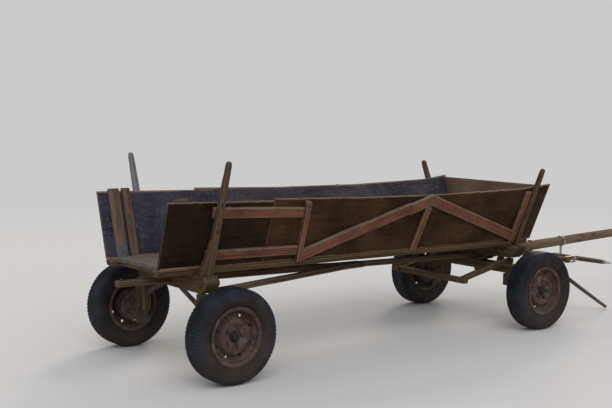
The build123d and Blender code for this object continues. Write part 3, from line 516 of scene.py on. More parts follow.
def worn_timber(stations, seed, arris=0.004, hollow=0.0012, chips=0.0, step=0.03, fades=0.01):
    """Grid of a worn, squared timber that follows its cross-sections, each of four corners in order.

    A point is the even blend of its section's corners at a place on a square with rounded corners. Their
    radius swells where a ripple has eaten the arris, the faces sink by another ripple, and the last rows
    close in on the middle of each end. The grain attribute is the place in the timber: along, across, up.
    """
    stations = np.asarray(stations, float)
    steps = np.linalg.norm(np.diff(stations.mean(axis=1), axis=0), axis=1)
    along = np.concatenate([[0.0], np.cumsum(steps)])
    length = along[-1]
    cap, part_closed = min(arris, 0.2 * length), 0.35
    count = max(int(length / step), 2) + 1
    inner = np.linspace(cap, length - cap, count)
    places = np.concatenate([[0.0, 0.0, 0.0, 0.3 * cap], inner, [length - 0.3 * cap, length, length, length]])
    closing = np.concatenate([[1.0, 1.0, 1.0, part_closed], np.zeros(count), [part_closed, 1.0, 1.0, 1.0]])
    shrink = np.concatenate([[0.0, 0.5, 1.0, 1.0], np.ones(count), [1.0, 1.0, 0.5, 0.0]])
    corner = np.stack([[np.interp(places, along, stations[:, k, axis]) for axis in range(3)]
                       for k in range(4)])
    a, b, c, d = corner.transpose(0, 2, 1)[:, :, None, :]
    places, closing, shrink = places[:, None], closing[:, None], shrink[:, None]
    width, height = np.linalg.norm(b - a, axis=-1), np.linalg.norm(d - a, axis=-1)
    radii = []
    for k in range(4):
        eaten = np.clip(ripple(places * 9.0, k * 5.0, seed + k), 0.0, 1.0)
        bitten = np.clip(ripple(places * 34.0, k * 9.0, seed + 17 + k) - 0.45, 0.0, 1.0)
        radius = arris * (1.0 + 1.1 * eaten) + chips * bitten * (1.0 if k in (2, 3) else 0.4)
        radii.append(np.minimum(radius, 0.42 * np.minimum(width, height)))

    def on_arris(k, turn):
        """Place across and up, as shares of the section, where the arc of a corner has turned so far."""
        (cs, ct), radius = ((0, 0), (1, 0), (1, 1), (0, 1))[k % 4], radii[k % 4]
        rs, rt = radius / width, radius / height
        return cs + (1 - 2 * cs) * rs + rs * np.cos(turn), ct + (1 - 2 * ct) * rt + rt * np.sin(turn)

    s_all, t_all, turn_all, edge_all = [], [], [], []
    for k, span in enumerate([width.max(), height.max()] * 2):
        turn = np.radians(180.0 + 90.0 * k) + np.radians(np.linspace(0.0, 90.0, 4))
        face_turn = np.radians(270.0 + 90.0 * k)
        s, t = on_arris(k, turn)
        s_end, t_end = on_arris(k + 1, face_turn)
        fade = min(fades / span, 0.3)
        shares = np.linspace(fade, 1.0 - fade, max(int(span / 0.06), 1) + 1)
        s_all += [s, s[:, -1:] * (1 - shares) + s_end * shares]
        t_all += [t, t[:, -1:] * (1 - shares) + t_end * shares]
        turn_all += [turn, np.full(len(shares), face_turn)]
        edge_all += [np.ones(len(turn)), np.zeros(len(shares))]
    turn, edge = np.concatenate(turn_all), np.concatenate(edge_all)
    s = 0.5 + (np.hstack(s_all) - 0.5) * (1.0 - 2.0 * closing * cap / width) * shrink
    t = 0.5 + (np.hstack(t_all) - 0.5) * (1.0 - 2.0 * closing * cap / height) * shrink
    s3, t3 = s[..., None], t[..., None]
    points = (1 - s3) * (1 - t3) * a + s3 * (1 - t3) * b + s3 * t3 * c + (1 - s3) * t3 * d
    across, upward = (b - a) / width[..., None], (d - a) / height[..., None]
    facing = np.cos(turn)[:, None] * across + np.sin(turn)[:, None] * upward
    sunk = 0.5 + 0.5 * ripple(places * 5.0, turn * 2.0 + s * 9.0, seed + 31)
    points = points - (hollow * sunk * shrink)[..., None] * facing
    offset = np.random.default_rng(seed).uniform(-4.0, 4.0, 3)
    grain = np.stack([places + 0.0 * s, (s - 0.5) * width, (t - 0.5) * height], axis=-1) + offset
    edge = np.maximum(edge * (shrink > 0.9), closing == part_closed)
    return points, False, True, {"grain": grain, "edge": edge[..., None]}


def cad_solids(name):
    """Corner points of each solid of a CAD node, found by spreading the lowest label along edges."""
    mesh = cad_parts[name].data
    points = np.empty(3 * len(mesh.vertices))
    mesh.vertices.foreach_get("co", points)
    corners, index = np.unique(points.reshape(-1, 3).round(5), axis=0, return_inverse=True)
    faces = np.empty(len(mesh.loops), int)
    mesh.loops.foreach_get("vertex_index", faces)
    faces = index.ravel()[faces].reshape(-1, 3)
    label = np.arange(len(corners))
    while True:
        lowest = label[faces].min(axis=1)
        spread_label = label.copy()
        for k in range(3):
            np.minimum.at(spread_label, faces[:, k], lowest)
        if (spread_label == label).all():
            return [corners[label == one] for one in np.unique(label)]
        label = spread_label


def sections(points, axis):
    """Cross-sections of a four-cornered solid along an axis, each with its corners in order round."""
    others = [k for k in range(3) if k != axis]
    groups = points[np.argsort(points[:, axis], kind="stable")].reshape(-1, 4, 3)
    flat = groups[..., others] - groups[..., others].mean(axis=1, keepdims=True)
    order = np.argsort(np.arctan2(flat[..., 1], flat[..., 0]), axis=1)
    return np.take_along_axis(groups, order[..., None], axis=1)


def end_sections(points, axis, between=()):
    """First and last cross-sections of a solid with ruled faces, and those at given places between."""
    along = points[np.argsort(points[:, axis], kind="stable")]
    chosen = [along[:4]]
    for place in between:
        slice_points = points[np.abs(points[:, axis] - place) < 0.0006]
        by_height = slice_points[np.argsort(slice_points[:, 2])]
        chosen.append(np.vstack([by_height[:2], by_height[-2:]]))
    return sections(np.vstack(chosen + [along[-4:]]), axis)


def squared(axis, rows):
    """Sections of a squared timber along an axis: place, then low and high in both other directions."""
    rows = np.array(rows, float)
    first, second = [k for k in range(3) if k != axis]
    stations = np.empty((len(rows), 4, 3))
    stations[..., axis] = rows[:, :1]
    stations[..., first] = rows[:, [1, 2, 2, 1]]
    stations[..., second] = rows[:, [3, 3, 4, 4]]
    return stations


def plain_box(low, high, axis):
    """The two end sections of a plain box along an axis."""
    i, j = [k for k in range(3) if k != axis]
    return squared(axis, [(end[axis], low[i], high[i], low[j], high[j]) for end in (low, high)])


def stretched(place, scale):
    """A place with its three numbers scaled each by its own amount."""
    return node(place.tree, "Mapping", 0, {"Vector": place, "Scale": scale})


def grain_group():
    """Wood: streaks along the grain that swirl round knots, dark checks in patches, and knot cores."""
    tree, coarseness = new_group("Wood grain", Coarseness=1.0)
    place = scaled(node(tree, "Attribute", "Vector", attribute_name="grain"), coarseness)
    knot = node(tree, "TexVoronoi", "Distance", {"Vector": stretched(place, (1.6, 7.0, 7.0)), "Scale": 1.0})
    lift = scaled((0.0, 0.035, 0.02), 1.0 - rising(knot, 0.02, 0.34))
    swirled = node(tree, "VectorMath", 0, {0: place, 1: lift}, operation="ADD")
    figure = noise(stretched(swirled, (1.1, 26.0, 26.0)), 1.0, 5.0, 0.6)
    fibre = noise(stretched(swirled, (5.0, 240.0, 240.0)), 1.0, 4.0, 0.65)
    gap = worked("ABSOLUTE", noise(stretched(swirled, (1.4, 52.0, 52.0)), 1.0, 2.0, 0.4) - 0.5)
    checks = (1.0 - rising(gap, 0.004, 0.016)) * rising(noise(place, 2.2, 3.0), 0.42, 0.56)
    core = 1.0 - rising(knot, 0.02, 0.075)
    height = fibre * 0.55 + figure * 0.45 - checks * 1.4
    return closed_group(tree, Figure=figure, Fibre=fibre, Checks=checks, Knots=core, Height=height)


wood_grain = grain_group()


def edge_wear_group():
    """Edge wear: the piece's own edge attribute, eaten into by noise, so that it is never a clean line."""
    tree, amount = new_group("Edge wear", Amount=0.5)
    edge = node(tree, "Attribute", "Fac", attribute_name="edge")
    broken = noise(here(tree), 26.0, 5.0, 0.7)
    return closed_group(tree, Mask=rising(edge * amount + (broken - 0.8), 0.0, 0.22))


edge_wear = edge_wear_group()


def cracked(wood, colour, knots, share, dark):
    """A wood's colour with its checks, and its knots by some amount, drawn in a dark one."""
    return mixed(larger(wood["Checks"], wood["Knots"] * knots) * share, colour, dark)


def timber_material(name, dark, light, coarseness=1.0, green=0.0, dust=(0.4, 0.45, 0.35)):
    """Bare weathered wood: two tones by figure and fibre, dark checks and knots, algae and dust."""
    material, tree = new_material(name, sheen=0.12)
    wood = placed(tree, wood_grain, Coarseness=coarseness)
    worn = placed(tree, edge_wear, Amount=0.55)["Mask"]
    colour = mixed(rising(wood["Fibre"] * 0.55 + wood["Figure"] * 0.6, 0.36, 0.78), dark, light)
    colour = mixed(worn * 0.45, colour, [1.25 * value for value in light])
    damp = rising(noise(here(tree), 5.0, 5.0, 0.6), 0.5, 0.72)
    colour = mixed(damp * green, colour, (0.078, 0.08, 0.03))
    colour = cracked(wood, colour, 0.75, 0.8, (0.022, 0.016, 0.011))
    colour = mixed(dirt(tree, *dust), colour, (0.18, 0.142, 0.098))
    return coated(material, colour, 0.86, wood["Height"], 0.55, 0.0016)


beam_wood = timber_material("beam_wood", (0.024, 0.015, 0.008), (0.104, 0.069, 0.038), 0.8, green=0.22)


def wooden(name, grids, finish, body, cad_node):
    """Joins the grids into one wooden piece that stands for its CAD node."""
    piece = joined_piece(name, grids)
    smooth_by_angle(piece, 60)
    fitted(piece, finish, body, cad_node)


# Columns: half width, underside, top
rear_tip = [(0.4395, 0.595, 0.607), (0.434, 0.57, 0.615), (0.418, 0.545, 0.6372),
            (0.39, 0.5205, 0.6372)]
front_tip = [(0.47, 0.608, 0.6092), (0.448, 0.5764, 0.6199), (0.41, 0.52, 0.6199),
             (0.155, 0.52, 0.6199), (0.13, 0.478, 0.6199)]
for end, tip, seed in (("rear", rear_tip, 101), ("front", front_tip, 102)):
    low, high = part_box(f"{end}_bolster")
    rows = [(-y, under, top) for y, under, top in tip] + tip[::-1]
    stations = squared(1, [(y, low[0], high[0], under, top) for y, under, top in rows])
    grid = worn_timber(stations, seed, arris=0.007, hollow=0.0025, chips=0.006)
    wooden(f"{end}_bolster_wood", [grid], beam_wood, "chassis", f"{end}_bolster")

grid = worn_timber(plain_box(*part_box("front_axle_beam"), 1), 103, arris=0.007, hollow=0.002)
wooden("front_axle_beam_wood", [grid], beam_wood, "front_gear", "front_axle_beam")

axle_bodies = {"rear": "chassis", "front": "front_gear"}
for (end, body), seed in zip(axle_bodies.items(), (110, 115)):
    cad_name = f"drop_blocks_{end}"
    grids = [worn_timber(plain_box(points.min(axis=0), points.max(axis=0), 2), seed + number, arris=0.006,
                         hollow=0.002, chips=0.004) for number, points in enumerate(cad_solids(cad_name))]
    wooden(f"{cad_name}_wood", grids, beam_wood, body, cad_name)

# Stub axles. The cut-off ends of a car's axles: a steel plate bolted on the outside of each drop
# block, the turned spindle, and the drum's pressed backing plate. Forged and pressed steel, all rust.
# Columns: radius, outward place
stub_outline = np.array([
    (0.0, 0.452), (0.028, 0.452), (0.026, 0.56), (0.03, 0.572), (0.06, 0.575), (0.066, 0.571), (0.098, 0.571),
    (0.1045, 0.5755), (0.1045, 0.5785), (0.017, 0.579), (0.0169, 0.672), (0.0, 0.672),
])
plate_behind, plate_ahead, plate_faces = 0.058, 0.042, (0.4403, 0.4523)
iron_finish = rusty_material("old_iron", (0.045, 0.038, 0.034), 0.7, scale=1.8)


def iron_bar(stations, seed):
    """Flat or square iron: a timber's grid with a fine arris and hardly any hollows, and no grain."""
    return *worn_timber(stations, seed, arris=0.0012, hollow=0.0004, step=0.02)[:3], {}


def iron_piece(name, grids, body, cad_node=None):
    """Joins the grids into one piece of old iron."""
    piece = joined_piece(name, grids)
    smooth_by_angle(piece, 35)
    fitted(piece, iron_finish, body, cad_node)


for end, body in axle_bodies.items():
    centre = wheels[f"{end}_left"][0]
    low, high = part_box(f"stubs_{end}")
    grids = []
    for side in (1, -1):
        faces = sorted(side * face for face in plate_faces)
        plate = [(z, centre[0] - plate_behind, centre[0] + plate_ahead, *faces) for z in (low[2], high[2])]
        grids.append(iron_bar(squared(2, plate), 120 + side))
        grids.append(turned((centre[0], 0.0, centre[2]), side, stub_outline, 72))
    iron_piece(f"stubs_{end}_steel", grids, body, f"stubs_{end}")

# Reach and rear braces. The reach is a squared pole that joins the rear bolster to the kingpin, and
# two round-edged arms are wedged in from the bolster to hold it true; peeled ash, cracked and grey.
# Columns: place along the cart, underside, top
reach_rows = [(rear_x - 0.444, 0.548, 0.59), (front_x + 0.055, 0.4809, 0.5229)]
reach_half_width = 0.025
# Columns: place ahead of the rear axle, inner and outer face
fork_rows = [(0.0553, 0.3505, 0.4), (1.38, 0.0253, 0.0703), (1.6, 0.0253, 0.0478)]
reach_finish = timber_material("reach_wood", (0.03, 0.018, 0.011), (0.132, 0.088, 0.056), 0.7)
stations = squared(0, [(x, -reach_half_width, reach_half_width, under, top) for x, under, top in reach_rows])
grid = worn_timber(stations, 131, arris=0.007, hollow=0.002)
wooden("reach_wood", [grid], reach_finish, "chassis", "reach")


def pair(rows, axle_x, seed, arris):
    """Grids of a timber and its mirror, from rows of place, inner and outer face, underside and top."""
    grids = []
    for side in (1, -1):
        stations = squared(0, [(axle_x + x, *sorted((side * inner, side * outer)), under, top)
                               for x, inner, outer, under, top in rows])
        grids.append(worn_timber(stations, seed + side, arris=arris, hollow=0.002))
    return grids


low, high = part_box("fork_arms")
grids = pair([(*row, low[2], high[2]) for row in fork_rows], rear_x, 135, 0.011)
wooden("fork_arms_wood", grids, reach_finish, "chassis", "fork_arms")

# Hounds, sway bar and jaws. The hounds run back and down from the axle beam to the sway bar that
# steadies the steering, and the jaws run forward to grip the pole; oak scantlings, halved and bolted.
# Columns: place ahead of the front axle, inner and outer face, and for the hounds underside and top
hound_rows = [(-0.5167, 0.3025, 0.3475, 0.364, 0.406), (-0.05, 0.3025, 0.3475, 0.466, 0.508),
              (0.05, 0.3025, 0.3475, 0.466, 0.508)]
jaw_rows = [(-0.05, 0.2527, 0.3022), (-0.01, 0.2226, 0.298), (0.235, 0.0303, 0.0813),
            (0.247, 0.0303, 0.0753), (0.56, 0.0303, 0.0753)]
wooden("hounds_wood", pair(hound_rows, front_x, 141, 0.006), beam_wood, "front_gear", "hounds")
grid = worn_timber(plain_box(*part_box("sway_bar"), 1), 145, arris=0.007, hollow=0.0025)
wooden("sway_bar_wood", [grid], beam_wood, "front_gear", "sway_bar")
low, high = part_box("pole_jaws")
grids = pair([(*row, low[2], high[2]) for row in jaw_rows], front_x, 148, 0.006)
wooden("pole_jaws_wood", grids, beam_wood, "front_gear", "pole_jaws")

# Sills and floor. Two sills lie on the bolsters, bearers join them, and five loose boards lie on the
# bearers; sawn softwood, bare, dusty on top and worn pale by loads. The boards' dark blue-grey tone is
# painted shade.
sill_wood = timber_material("sill_wood", (0.026, 0.016, 0.008), (0.116, 0.075, 0.042), 0.9, green=0.14)
# Painted shade: the floor boards' tones are dark and blue-grey for the shade they lie in.
floor_wood_painted_shade = timber_material("floor_wood_painted_shade", (0.048, 0.041, 0.04), (0.15, 0.132, 0.124), dust=(0.4, 0.8, 0.4))
# Columns: the pieces, the axis they run along, finish, seed, arris, hollow, chips
for cad_name, axis, finish, seed, arris, hollow, chips in (
    ("sills", 0, sill_wood, 151, 0.005, 0.002, 0.004),
    ("floor_bearers", 1, sill_wood, 155, 0.004, 0.0012, 0.0),
    ("floor_boards", 0, floor_wood_painted_shade, 161, 0.003, 0.0022, 0.003),
):
    grids = [worn_timber(sections(points, axis), seed + number, arris, hollow, chips)
             for number, points in enumerate(cad_solids(cad_name))]
    wooden(f"{cad_name}_wood", grids, finish, "chassis", cad_name)

# Side sheets, headboard. Wide boards of thin timber, each side in two lengths, leaning outwards and
# twisted by their different lean at both ends. Nearly black-brown oiled outside, slate blue paint
# inside, bare along the knocked top edges; nailed to the sills and to the battens.


def sheet_material(name, outside_dark, outside_light, inside_dark, inside_light, always_inside=0.0):
    """Painted board: one colour where it faces away from the cart's middle, another inside."""
    material, tree = new_material(name, sheen=0.08)
    wood = placed(tree, wood_grain, Coarseness=0.55)
    worn = placed(tree, edge_wear, Amount=0.72)["Mask"]
    place = here(tree)
    inward = worked("LESS_THAN", measured(tree, "Object", "Y") * measured(tree, "Normal", "Y"), 0.0)
    inward = larger(inward, always_inside)
    clouds, scuffs = noise(place, 3.2, 6.0, 0.62), noise(place, 34.0, 6.0, 0.72)
    tone = rising(wood["Fibre"] * 0.3 + clouds * 0.75, 0.38, 0.72)
    inner = mixed(tone, inside_dark, inside_light)
    inner = mixed(rising(scuffs, 0.5, 0.68) * 0.45, inner, (0.118, 0.112, 0.135))
    paint = mixed(inward, mixed(tone, outside_dark, outside_light), inner)
    bare = mixed(wood["Fibre"], (0.08, 0.054, 0.036), (0.235, 0.172, 0.118))
    colour = cracked(wood, mixed(worn, paint, bare), 0.5, 0.7, (0.015, 0.011, 0.009))
    colour = mixed(dirt(tree, 0.9, 0.5, 0.14), colour, (0.12, 0.092, 0.066))
    return coated(material, colour, scuffs * 0.25 + 0.58, wood["Height"], 0.35, 0.0014)


front_board = sheet_material("front_sheet_board", (0.022, 0.011, 0.005), (0.07, 0.034, 0.017),
                             (0.03, 0.025, 0.032), (0.068, 0.057, 0.07))
rear_board = sheet_material("rear_sheet_board", (0.008, 0.005, 0.003), (0.034, 0.018, 0.009),
                            (0.022, 0.02, 0.031), (0.052, 0.048, 0.068))
head_board = sheet_material("head_sheet_board", (0.03, 0.018, 0.01), (0.08, 0.05, 0.03),
                            (0.098, 0.062, 0.044), (0.2, 0.13, 0.09), always_inside=1.0)
sides = {"left": 1, "right": -1}
peak_x = rear_x + 1.79
top_edge_bends = {"rear": (), "front": (peak_x - 0.59, peak_x + 0.16, rear_x + 2.76)}
for side_name, side in sides.items():
    for end, finish, seed in (("rear", rear_board, 171), ("front", front_board, 175)):
        cad_name = f"sheet_{end}_{side_name}"
        stations = end_sections(cad_solids(cad_name)[0], 0, top_edge_bends[end])
        grid = worn_timber(stations, seed + (side > 0), arris=0.003, hollow=0.0018, chips=0.005, fades=0.016)
        wooden(f"{cad_name}_board", [grid], finish, "chassis", cad_name)

# The rear boards run on for a hand's breadth inside the front ones, with their top corner rounded off.
# Columns: place ahead of the rear axle, set in from the board's inner face, top
lap_rows = [(0.3, 0.0005, 1.1005), (0.44, 0.015, 1.0966), (0.565, 0.015, 1.093),
            (0.58, 0.015, 1.085), (0.588, 0.015, 1.067)]
lap_foot, lap_clearance = 0.704, 0.0002
for side_name, side in sides.items():
    corners = np.vstack([end_sections(cad_solids(f"sheet_{end}_{side_name}")[0], 0)
                         for end in ("rear", "front")])
    inner_face = (0, 3) if side > 0 else (1, 2)
    stations = []
    for place, inset, top in lap_rows:
        x = rear_x + place
        low, high = [np.array([np.interp(x, corners[:, k, 0], corners[:, k, axis]) for axis in (1, 2)])
                     for k in inner_face]
        foot, head = [low + (high - low) / (high[1] - low[1]) * (z - low[1]) for z in (lap_foot, top)]
        flush, inward = np.array((-side * lap_clearance, 0.0)), np.array((-side * inset, 0.0))
        stations.append([(x, *spot) for spot in (foot + flush, foot + inward, head + inward, head + flush)])
    grid = worn_timber(stations, 177 + side, arris=0.0002, hollow=0.0, step=0.02)
    wooden(f"sheet_lap_{side_name}_board", [grid], rear_board, "chassis", None)

grid = worn_timber(sections(cad_solids("headboard")[0], 1), 179, arris=0.004, chips=0.006)
wooden("headboard_board", [grid], head_board, "chassis", "headboard")

# Side framing. Battens nailed on the outside of the sheets: two level rails at the rear, an upright, and
# two braces that rise to the middle, the rear one spliced near its top. The red lead paint is thin, and gone
# on worn edges; the bare grey on upper faces is part wear, part painted highlight. The rails along the foot
# are bare, and the short one at the tail is paler as a painted highlight.


def batten_material():
    """Faded red paint over grey wood, bare on worn edges; bare grey on up faces is wear and painted
    highlight.
    """
    material, tree = new_material("batten_red", sheen=0.1)
    wood = placed(tree, wood_grain, Coarseness=0.9)
    worn = placed(tree, edge_wear, Amount=0.62)["Mask"]
    clouds = noise(here(tree), 7.0, 6.0, 0.65)
    tone = rising(wood["Fibre"] * 0.45 + clouds * 0.6, 0.36, 0.74)
    paint = mixed(tone, (0.09, 0.033, 0.019), (0.215, 0.092, 0.053))
    bare = mixed(wood["Fibre"], (0.085, 0.06, 0.044), (0.225, 0.172, 0.13))
    # Painted highlight with real wear: bare grey wood on faces that look up, for light on the upper edges.
    on_top = rising(measured(tree, "Normal", "Z"), 0.3, 0.75) * rising(clouds, 0.25, 0.55)
    colour = cracked(wood, mixed(larger(worn, on_top), paint, bare), 0.6, 0.75, (0.02, 0.012, 0.009))
    return coated(material, colour, 0.8, wood["Height"], 0.5, 0.0014)


batten_red = batten_material()
pole_wood = timber_material("pole_wood", (0.06, 0.037, 0.024), (0.215, 0.146, 0.098), 0.7)
foot_rail_level, tail_strip_longest = 0.705, 0.4
splice_brace_run, splice_place, splice_step = 1.1, 0.15, np.array((0.002, 0.0, -0.006))
battens = {"left": [], "right": []}
for side_name, side in sides.items():
    cad_name = f"side_frame_{side_name}"
    painted, bare, highlight_strip = [], [], []
    for number, points in enumerate(cad_solids(cad_name)):
        run, _, rise = points.max(axis=0) - points.min(axis=0)
        stations = sections(points, 0 if run > rise else 2)
        battens[side_name].append(stations)
        lengths = [stations]
        if abs(run - splice_brace_run) < 0.05 and points[:, 0].max() < peak_x + 0.01:
            top = stations[-1]
            cut = stations[-2] + (top - stations[-2]) * splice_place
            lengths = [np.vstack([stations[:-1], [cut]]),
                       np.stack([cut + splice_step, top + 0.5 * splice_step])]
        low_down = points[:, 2].max() < foot_rail_level
        grids = painted if not low_down else highlight_strip if run < tail_strip_longest else bare
        for length in lengths:
            seed = 181 + 3 * number + (side > 0)
            grids.append(worn_timber(length, seed, arris=0.0035, hollow=0.0015, chips=0.004, step=0.02))
    wooden(f"{cad_name}_battens", painted, batten_red, "chassis", cad_name)
    wooden(f"{cad_name}_foot_rails", bare, sill_wood, "chassis", None)
    # Painted highlight: the tail strip takes the paler pole wood for the light that falls on it.
    wooden(f"{cad_name}_tail_strip", highlight_strip, pole_wood, "chassis", None)

# Stakes. Four squared stakes in mortises of the bolsters hold the sides up and outwards; the rear ones
# stand tall and have a wedge nailed on behind their foot. Split ash, bare and grey; the left rear stake is
# lighter and bluer, part old paint and part painted highlight.
stake_wood = timber_material("stake_wood", (0.022, 0.013, 0.008), (0.11, 0.069, 0.044), 0.8, green=0.1)
# Old blue paint with painted highlight: a lighter, bluer copy of the stake wood for the left rear stake.
blue_paint_and_highlight_stake_wood = timber_material("blue_paint_and_highlight_stake_wood", (0.075, 0.07, 0.085), (0.2, 0.19, 0.225), 0.8)
# Columns: share of the stake's height, share of its girth left there
girth_rows = np.array([(0.0, 1.0), (0.45, 0.98), (0.7, 0.93), (0.9, 0.84), (0.97, 0.8), (1.0, 0.66)])
wedge_foot, wedge_half_width, wedge_inset = 0.6385, 0.0215, 0.022
# Columns: height above the wedge's foot, thickness behind the stake
wedge_rows = [(0.0, 0.054), (0.118, 0.027), (0.236, 0.003)]
stake_lines = {}
for end, seed in (("rear", 211), ("front", 215)):
    by_side = {"left": [], "right": []}
    for number, points in enumerate(cad_solids(f"stakes_{end}")):
        side_name = "left" if points[:, 1].mean() > 0.0 else "right"
        foot, top = end_sections(points, 2)
        rows = foot + (top - foot) * girth_rows[:, :1, None]
        middles = rows.mean(axis=1, keepdims=True)
        rows = middles + (rows - middles) * girth_rows[:, 1:, None]
        grid = worn_timber(rows, seed + number, arris=0.007, hollow=0.003, chips=0.007, step=0.02)
        by_side[side_name].append(grid)
        foot, top = stake_lines[end, side_name] = foot.mean(axis=0), top.mean(axis=0)
        if end == "rear":
            along = (top - foot) / (top - foot)[2]
            rows = []
            for height, thickness in wedge_rows:
                x, y, z = foot + along * (wedge_foot - foot[2]) + along * height
                back = x - wedge_inset
                rows.append((z, back - thickness, back, y - wedge_half_width, y + wedge_half_width))
            grid = worn_timber(squared(2, rows), seed + 20 + number, arris=0.003, hollow=0.001, step=0.02)
            by_side[side_name].append(grid)
    for side_name, grids in by_side.items():
        finish = blue_paint_and_highlight_stake_wood if (end, side_name) == ("rear", "left") else stake_wood
        replaced = f"stakes_{end}" if side_name == "left" else None
        wooden(f"stakes_{end}_{side_name}_wood", grids, finish, "chassis", replaced)

# Tail cleats. Two upright cleats inside the tail of each side, a slot apart, that once held a
# tailboard; planed softwood with traces of light blue paint low down, nailed through the sheet.
inner_cleats_x, short_share = rear_x - 0.2, 0.93
blue_cleats_x, blue_fades = rear_x - 0.175, (0.72, 0.83)


def cleat_material():
    """Tan wood with specks of red lead, and light blue paint left in patches near the foot."""
    material, tree = new_material("cleat_wood", sheen=0.12)
    wood = placed(tree, wood_grain, Coarseness=1.0)
    place = here(tree)
    tone = rising(wood["Fibre"] * 0.5 + wood["Figure"] * 0.5, 0.34, 0.7)
    colour = mixed(tone, (0.062, 0.038, 0.028), (0.19, 0.128, 0.096))
    specks = rising(noise(place, 55.0, 4.0, 0.6), 0.6, 0.7)
    colour = mixed(specks * 0.7, colour, (0.19, 0.06, 0.035))
    low_down = 1.0 - rising(measured(tree, "Object", "Z"), *blue_fades)
    low_down = low_down * worked("LESS_THAN", measured(tree, "Object", "X"), blue_cleats_x)
    patches = rising(noise(place, 24.0, 5.0, 0.7), 0.44, 0.56)
    colour = mixed(low_down * patches, colour, (0.06, 0.112, 0.15))
    colour = cracked(wood, colour, 0.0, 0.8, (0.02, 0.013, 0.01))
    return coated(material, colour, 0.82, wood["Height"], 0.5, 0.0014)


grids = []
for number, points in enumerate(cad_solids("tail_cleats")):
    stations = end_sections(points, 2)
    if points[:, 1].mean() < 0.0 and points[:, 0].min() > inner_cleats_x:
        stations[1] = stations[0] + (stations[1] - stations[0]) * short_share
    grids.append(worn_timber(stations, 221 + number, arris=0.004, chips=0.004, step=0.02))
wooden("tail_cleats_wood", grids, cleat_material(), "chassis", "tail_cleats")

# Pole. A peeled young ash, thick at the butt where two flats are cut for the jaws, slim and polished
# by the harness at its tip; grey, with long drying cracks.
pole_butt_x, pole_length, pole_end_gap = front_x + 0.19, 2.86, 0.001
pole_heights, pole_radii = (0.508, 0.603), (0.0435, 0.031)
pole_flat, pole_flat_ends = 0.03, (front_x + 0.575, front_x + 0.59)


def round_rows(count, columns, ends):
    """Places along a round bar from 0 to 1, the girth left at each, closed at both ends, and the turns."""
    places = np.concatenate([[0.0] * 3, np.linspace(0.0, 1.0, count), [1.0] * 3])[:, None]
    girth = np.concatenate([[0.0, *ends], np.ones(count), [*ends[::-1], 0.0]])[:, None]
    return places, girth, np.linspace(0.0, 2.0 * np.pi, columns, endpoint=False)[None, :]


def pole_points(seed):
    """Round tapering pole along X: radius, height and a slight wander are functions of the place."""
    places, girth, around = round_rows(110, 40, (0.5, 0.93))
    x = pole_butt_x + pole_end_gap + (pole_length - 2.0 * pole_end_gap) * places + 0.0 * around
    radius = pole_radii[0] + (pole_radii[1] - pole_radii[0]) * places
    radius = radius * (0.985 + 0.012 * ripple(x * 9.0, np.cos(around) * 2.0, seed))
    flat = pole_flat + 0.02 * soft_step(x, *pole_flat_ends)
    sideways, upward = radius * np.cos(around), radius * np.sin(around)
    wander = 0.0025 * np.sin(np.pi * places) * np.sin(6.0 * places)
    y = np.clip(sideways * girth, -flat, flat) + wander
    z = pole_heights[0] + (pole_heights[1] - pole_heights[0]) * places + upward * girth
    grain = np.stack([x, sideways, upward], axis=-1) + 2.0
    return np.stack([x, y, z], axis=-1), False, True, {"grain": grain, "edge": np.zeros((*y.shape, 1))}


wooden("pole_wood_spar", [pole_points(231)], pole_wood, "front_gear", "pole")

# Evener and swingletrees. The evener swings on a pin under the pole, and a swingletree hangs from
# each of its ends in an iron clevis; bars of turned ash, thick in the middle, with irons on their tips.
# Columns: bar, width in the middle, width at the tips, seed
bar_rows = [("evener", 0.064, 0.044, 241), ("swingletree_left", 0.052, 0.034, 245),
            ("swingletree_right", 0.052, 0.034, 245)]
for bar, mid_width, end_width, seed in bar_rows:
    low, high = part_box(bar)
    x, y, _ = (low + high) / 2
    share = np.linspace(-1.0, 1.0, 9)
    half_widths = (end_width + (mid_width - end_width) * (1.0 - share ** 2)) / 2
    rows = zip(y + (high[1] - low[1]) / 2 * share, x - half_widths, x + half_widths)
    grid = worn_timber(squared(1, [(*row, low[2], high[2]) for row in rows]), seed, arris=0.009, hollow=0.002,
                       step=0.015)
    wooden(f"{bar}_wood", [grid], reach_finish, bar, bar)

# Prop stick. A peeled stick hung from an iron arm ahead of the right front wheel, its foot just clear
# of the ground; it is let down behind a wheel or under the pole when the cart stands on a slope.
points = cad_solids("prop_stick")[0]
order = points[np.argsort(points[:, 0])]
head, foot = order[:8].mean(axis=0), order[-8:].mean(axis=0)
stick_side = np.array((0.0, 1.0, 0.0))
stick_up = np.cross(-stick_side, (foot - head) / np.linalg.norm(foot - head))


def stick_points(seed):
    """Round stick from head to foot, its radius falling along it and rippling with old knots."""
    places, girth, around = round_rows(60, 24, (0.6, 0.95))
    knots = 0.96 + 0.035 * ripple(places * 9.0, np.cos(around) * 2.0, seed)
    radius = (0.0186 - 0.005 * places) * knots * girth
    bow = 0.004 * np.sin(np.pi * places)
    sideways, upward = radius * np.cos(around), radius * np.sin(around) - bow
    points = head + (foot - head) * places[..., None]
    points = points + sideways[..., None] * stick_side + upward[..., None] * stick_up
    grain = np.stack([0.865 * places + 0.0 * around, sideways, upward], axis=-1) + 3.0
    return points, False, True, {"grain": grain, "edge": np.zeros((*sideways.shape, 1))}


stick_finish = timber_material("stick_wood", (0.032, 0.02, 0.016), (0.118, 0.078, 0.058), 0.7)
wooden("prop_stick_wood", [stick_points(251)], stick_finish, "front_gear", "prop_stick")

# Nails and bolts. Wire nails hold the boards and battens, and square nuts on round washers close the
# bolts through bolsters, blocks, hounds, jaws and stakes; plain iron, all rusted brown.


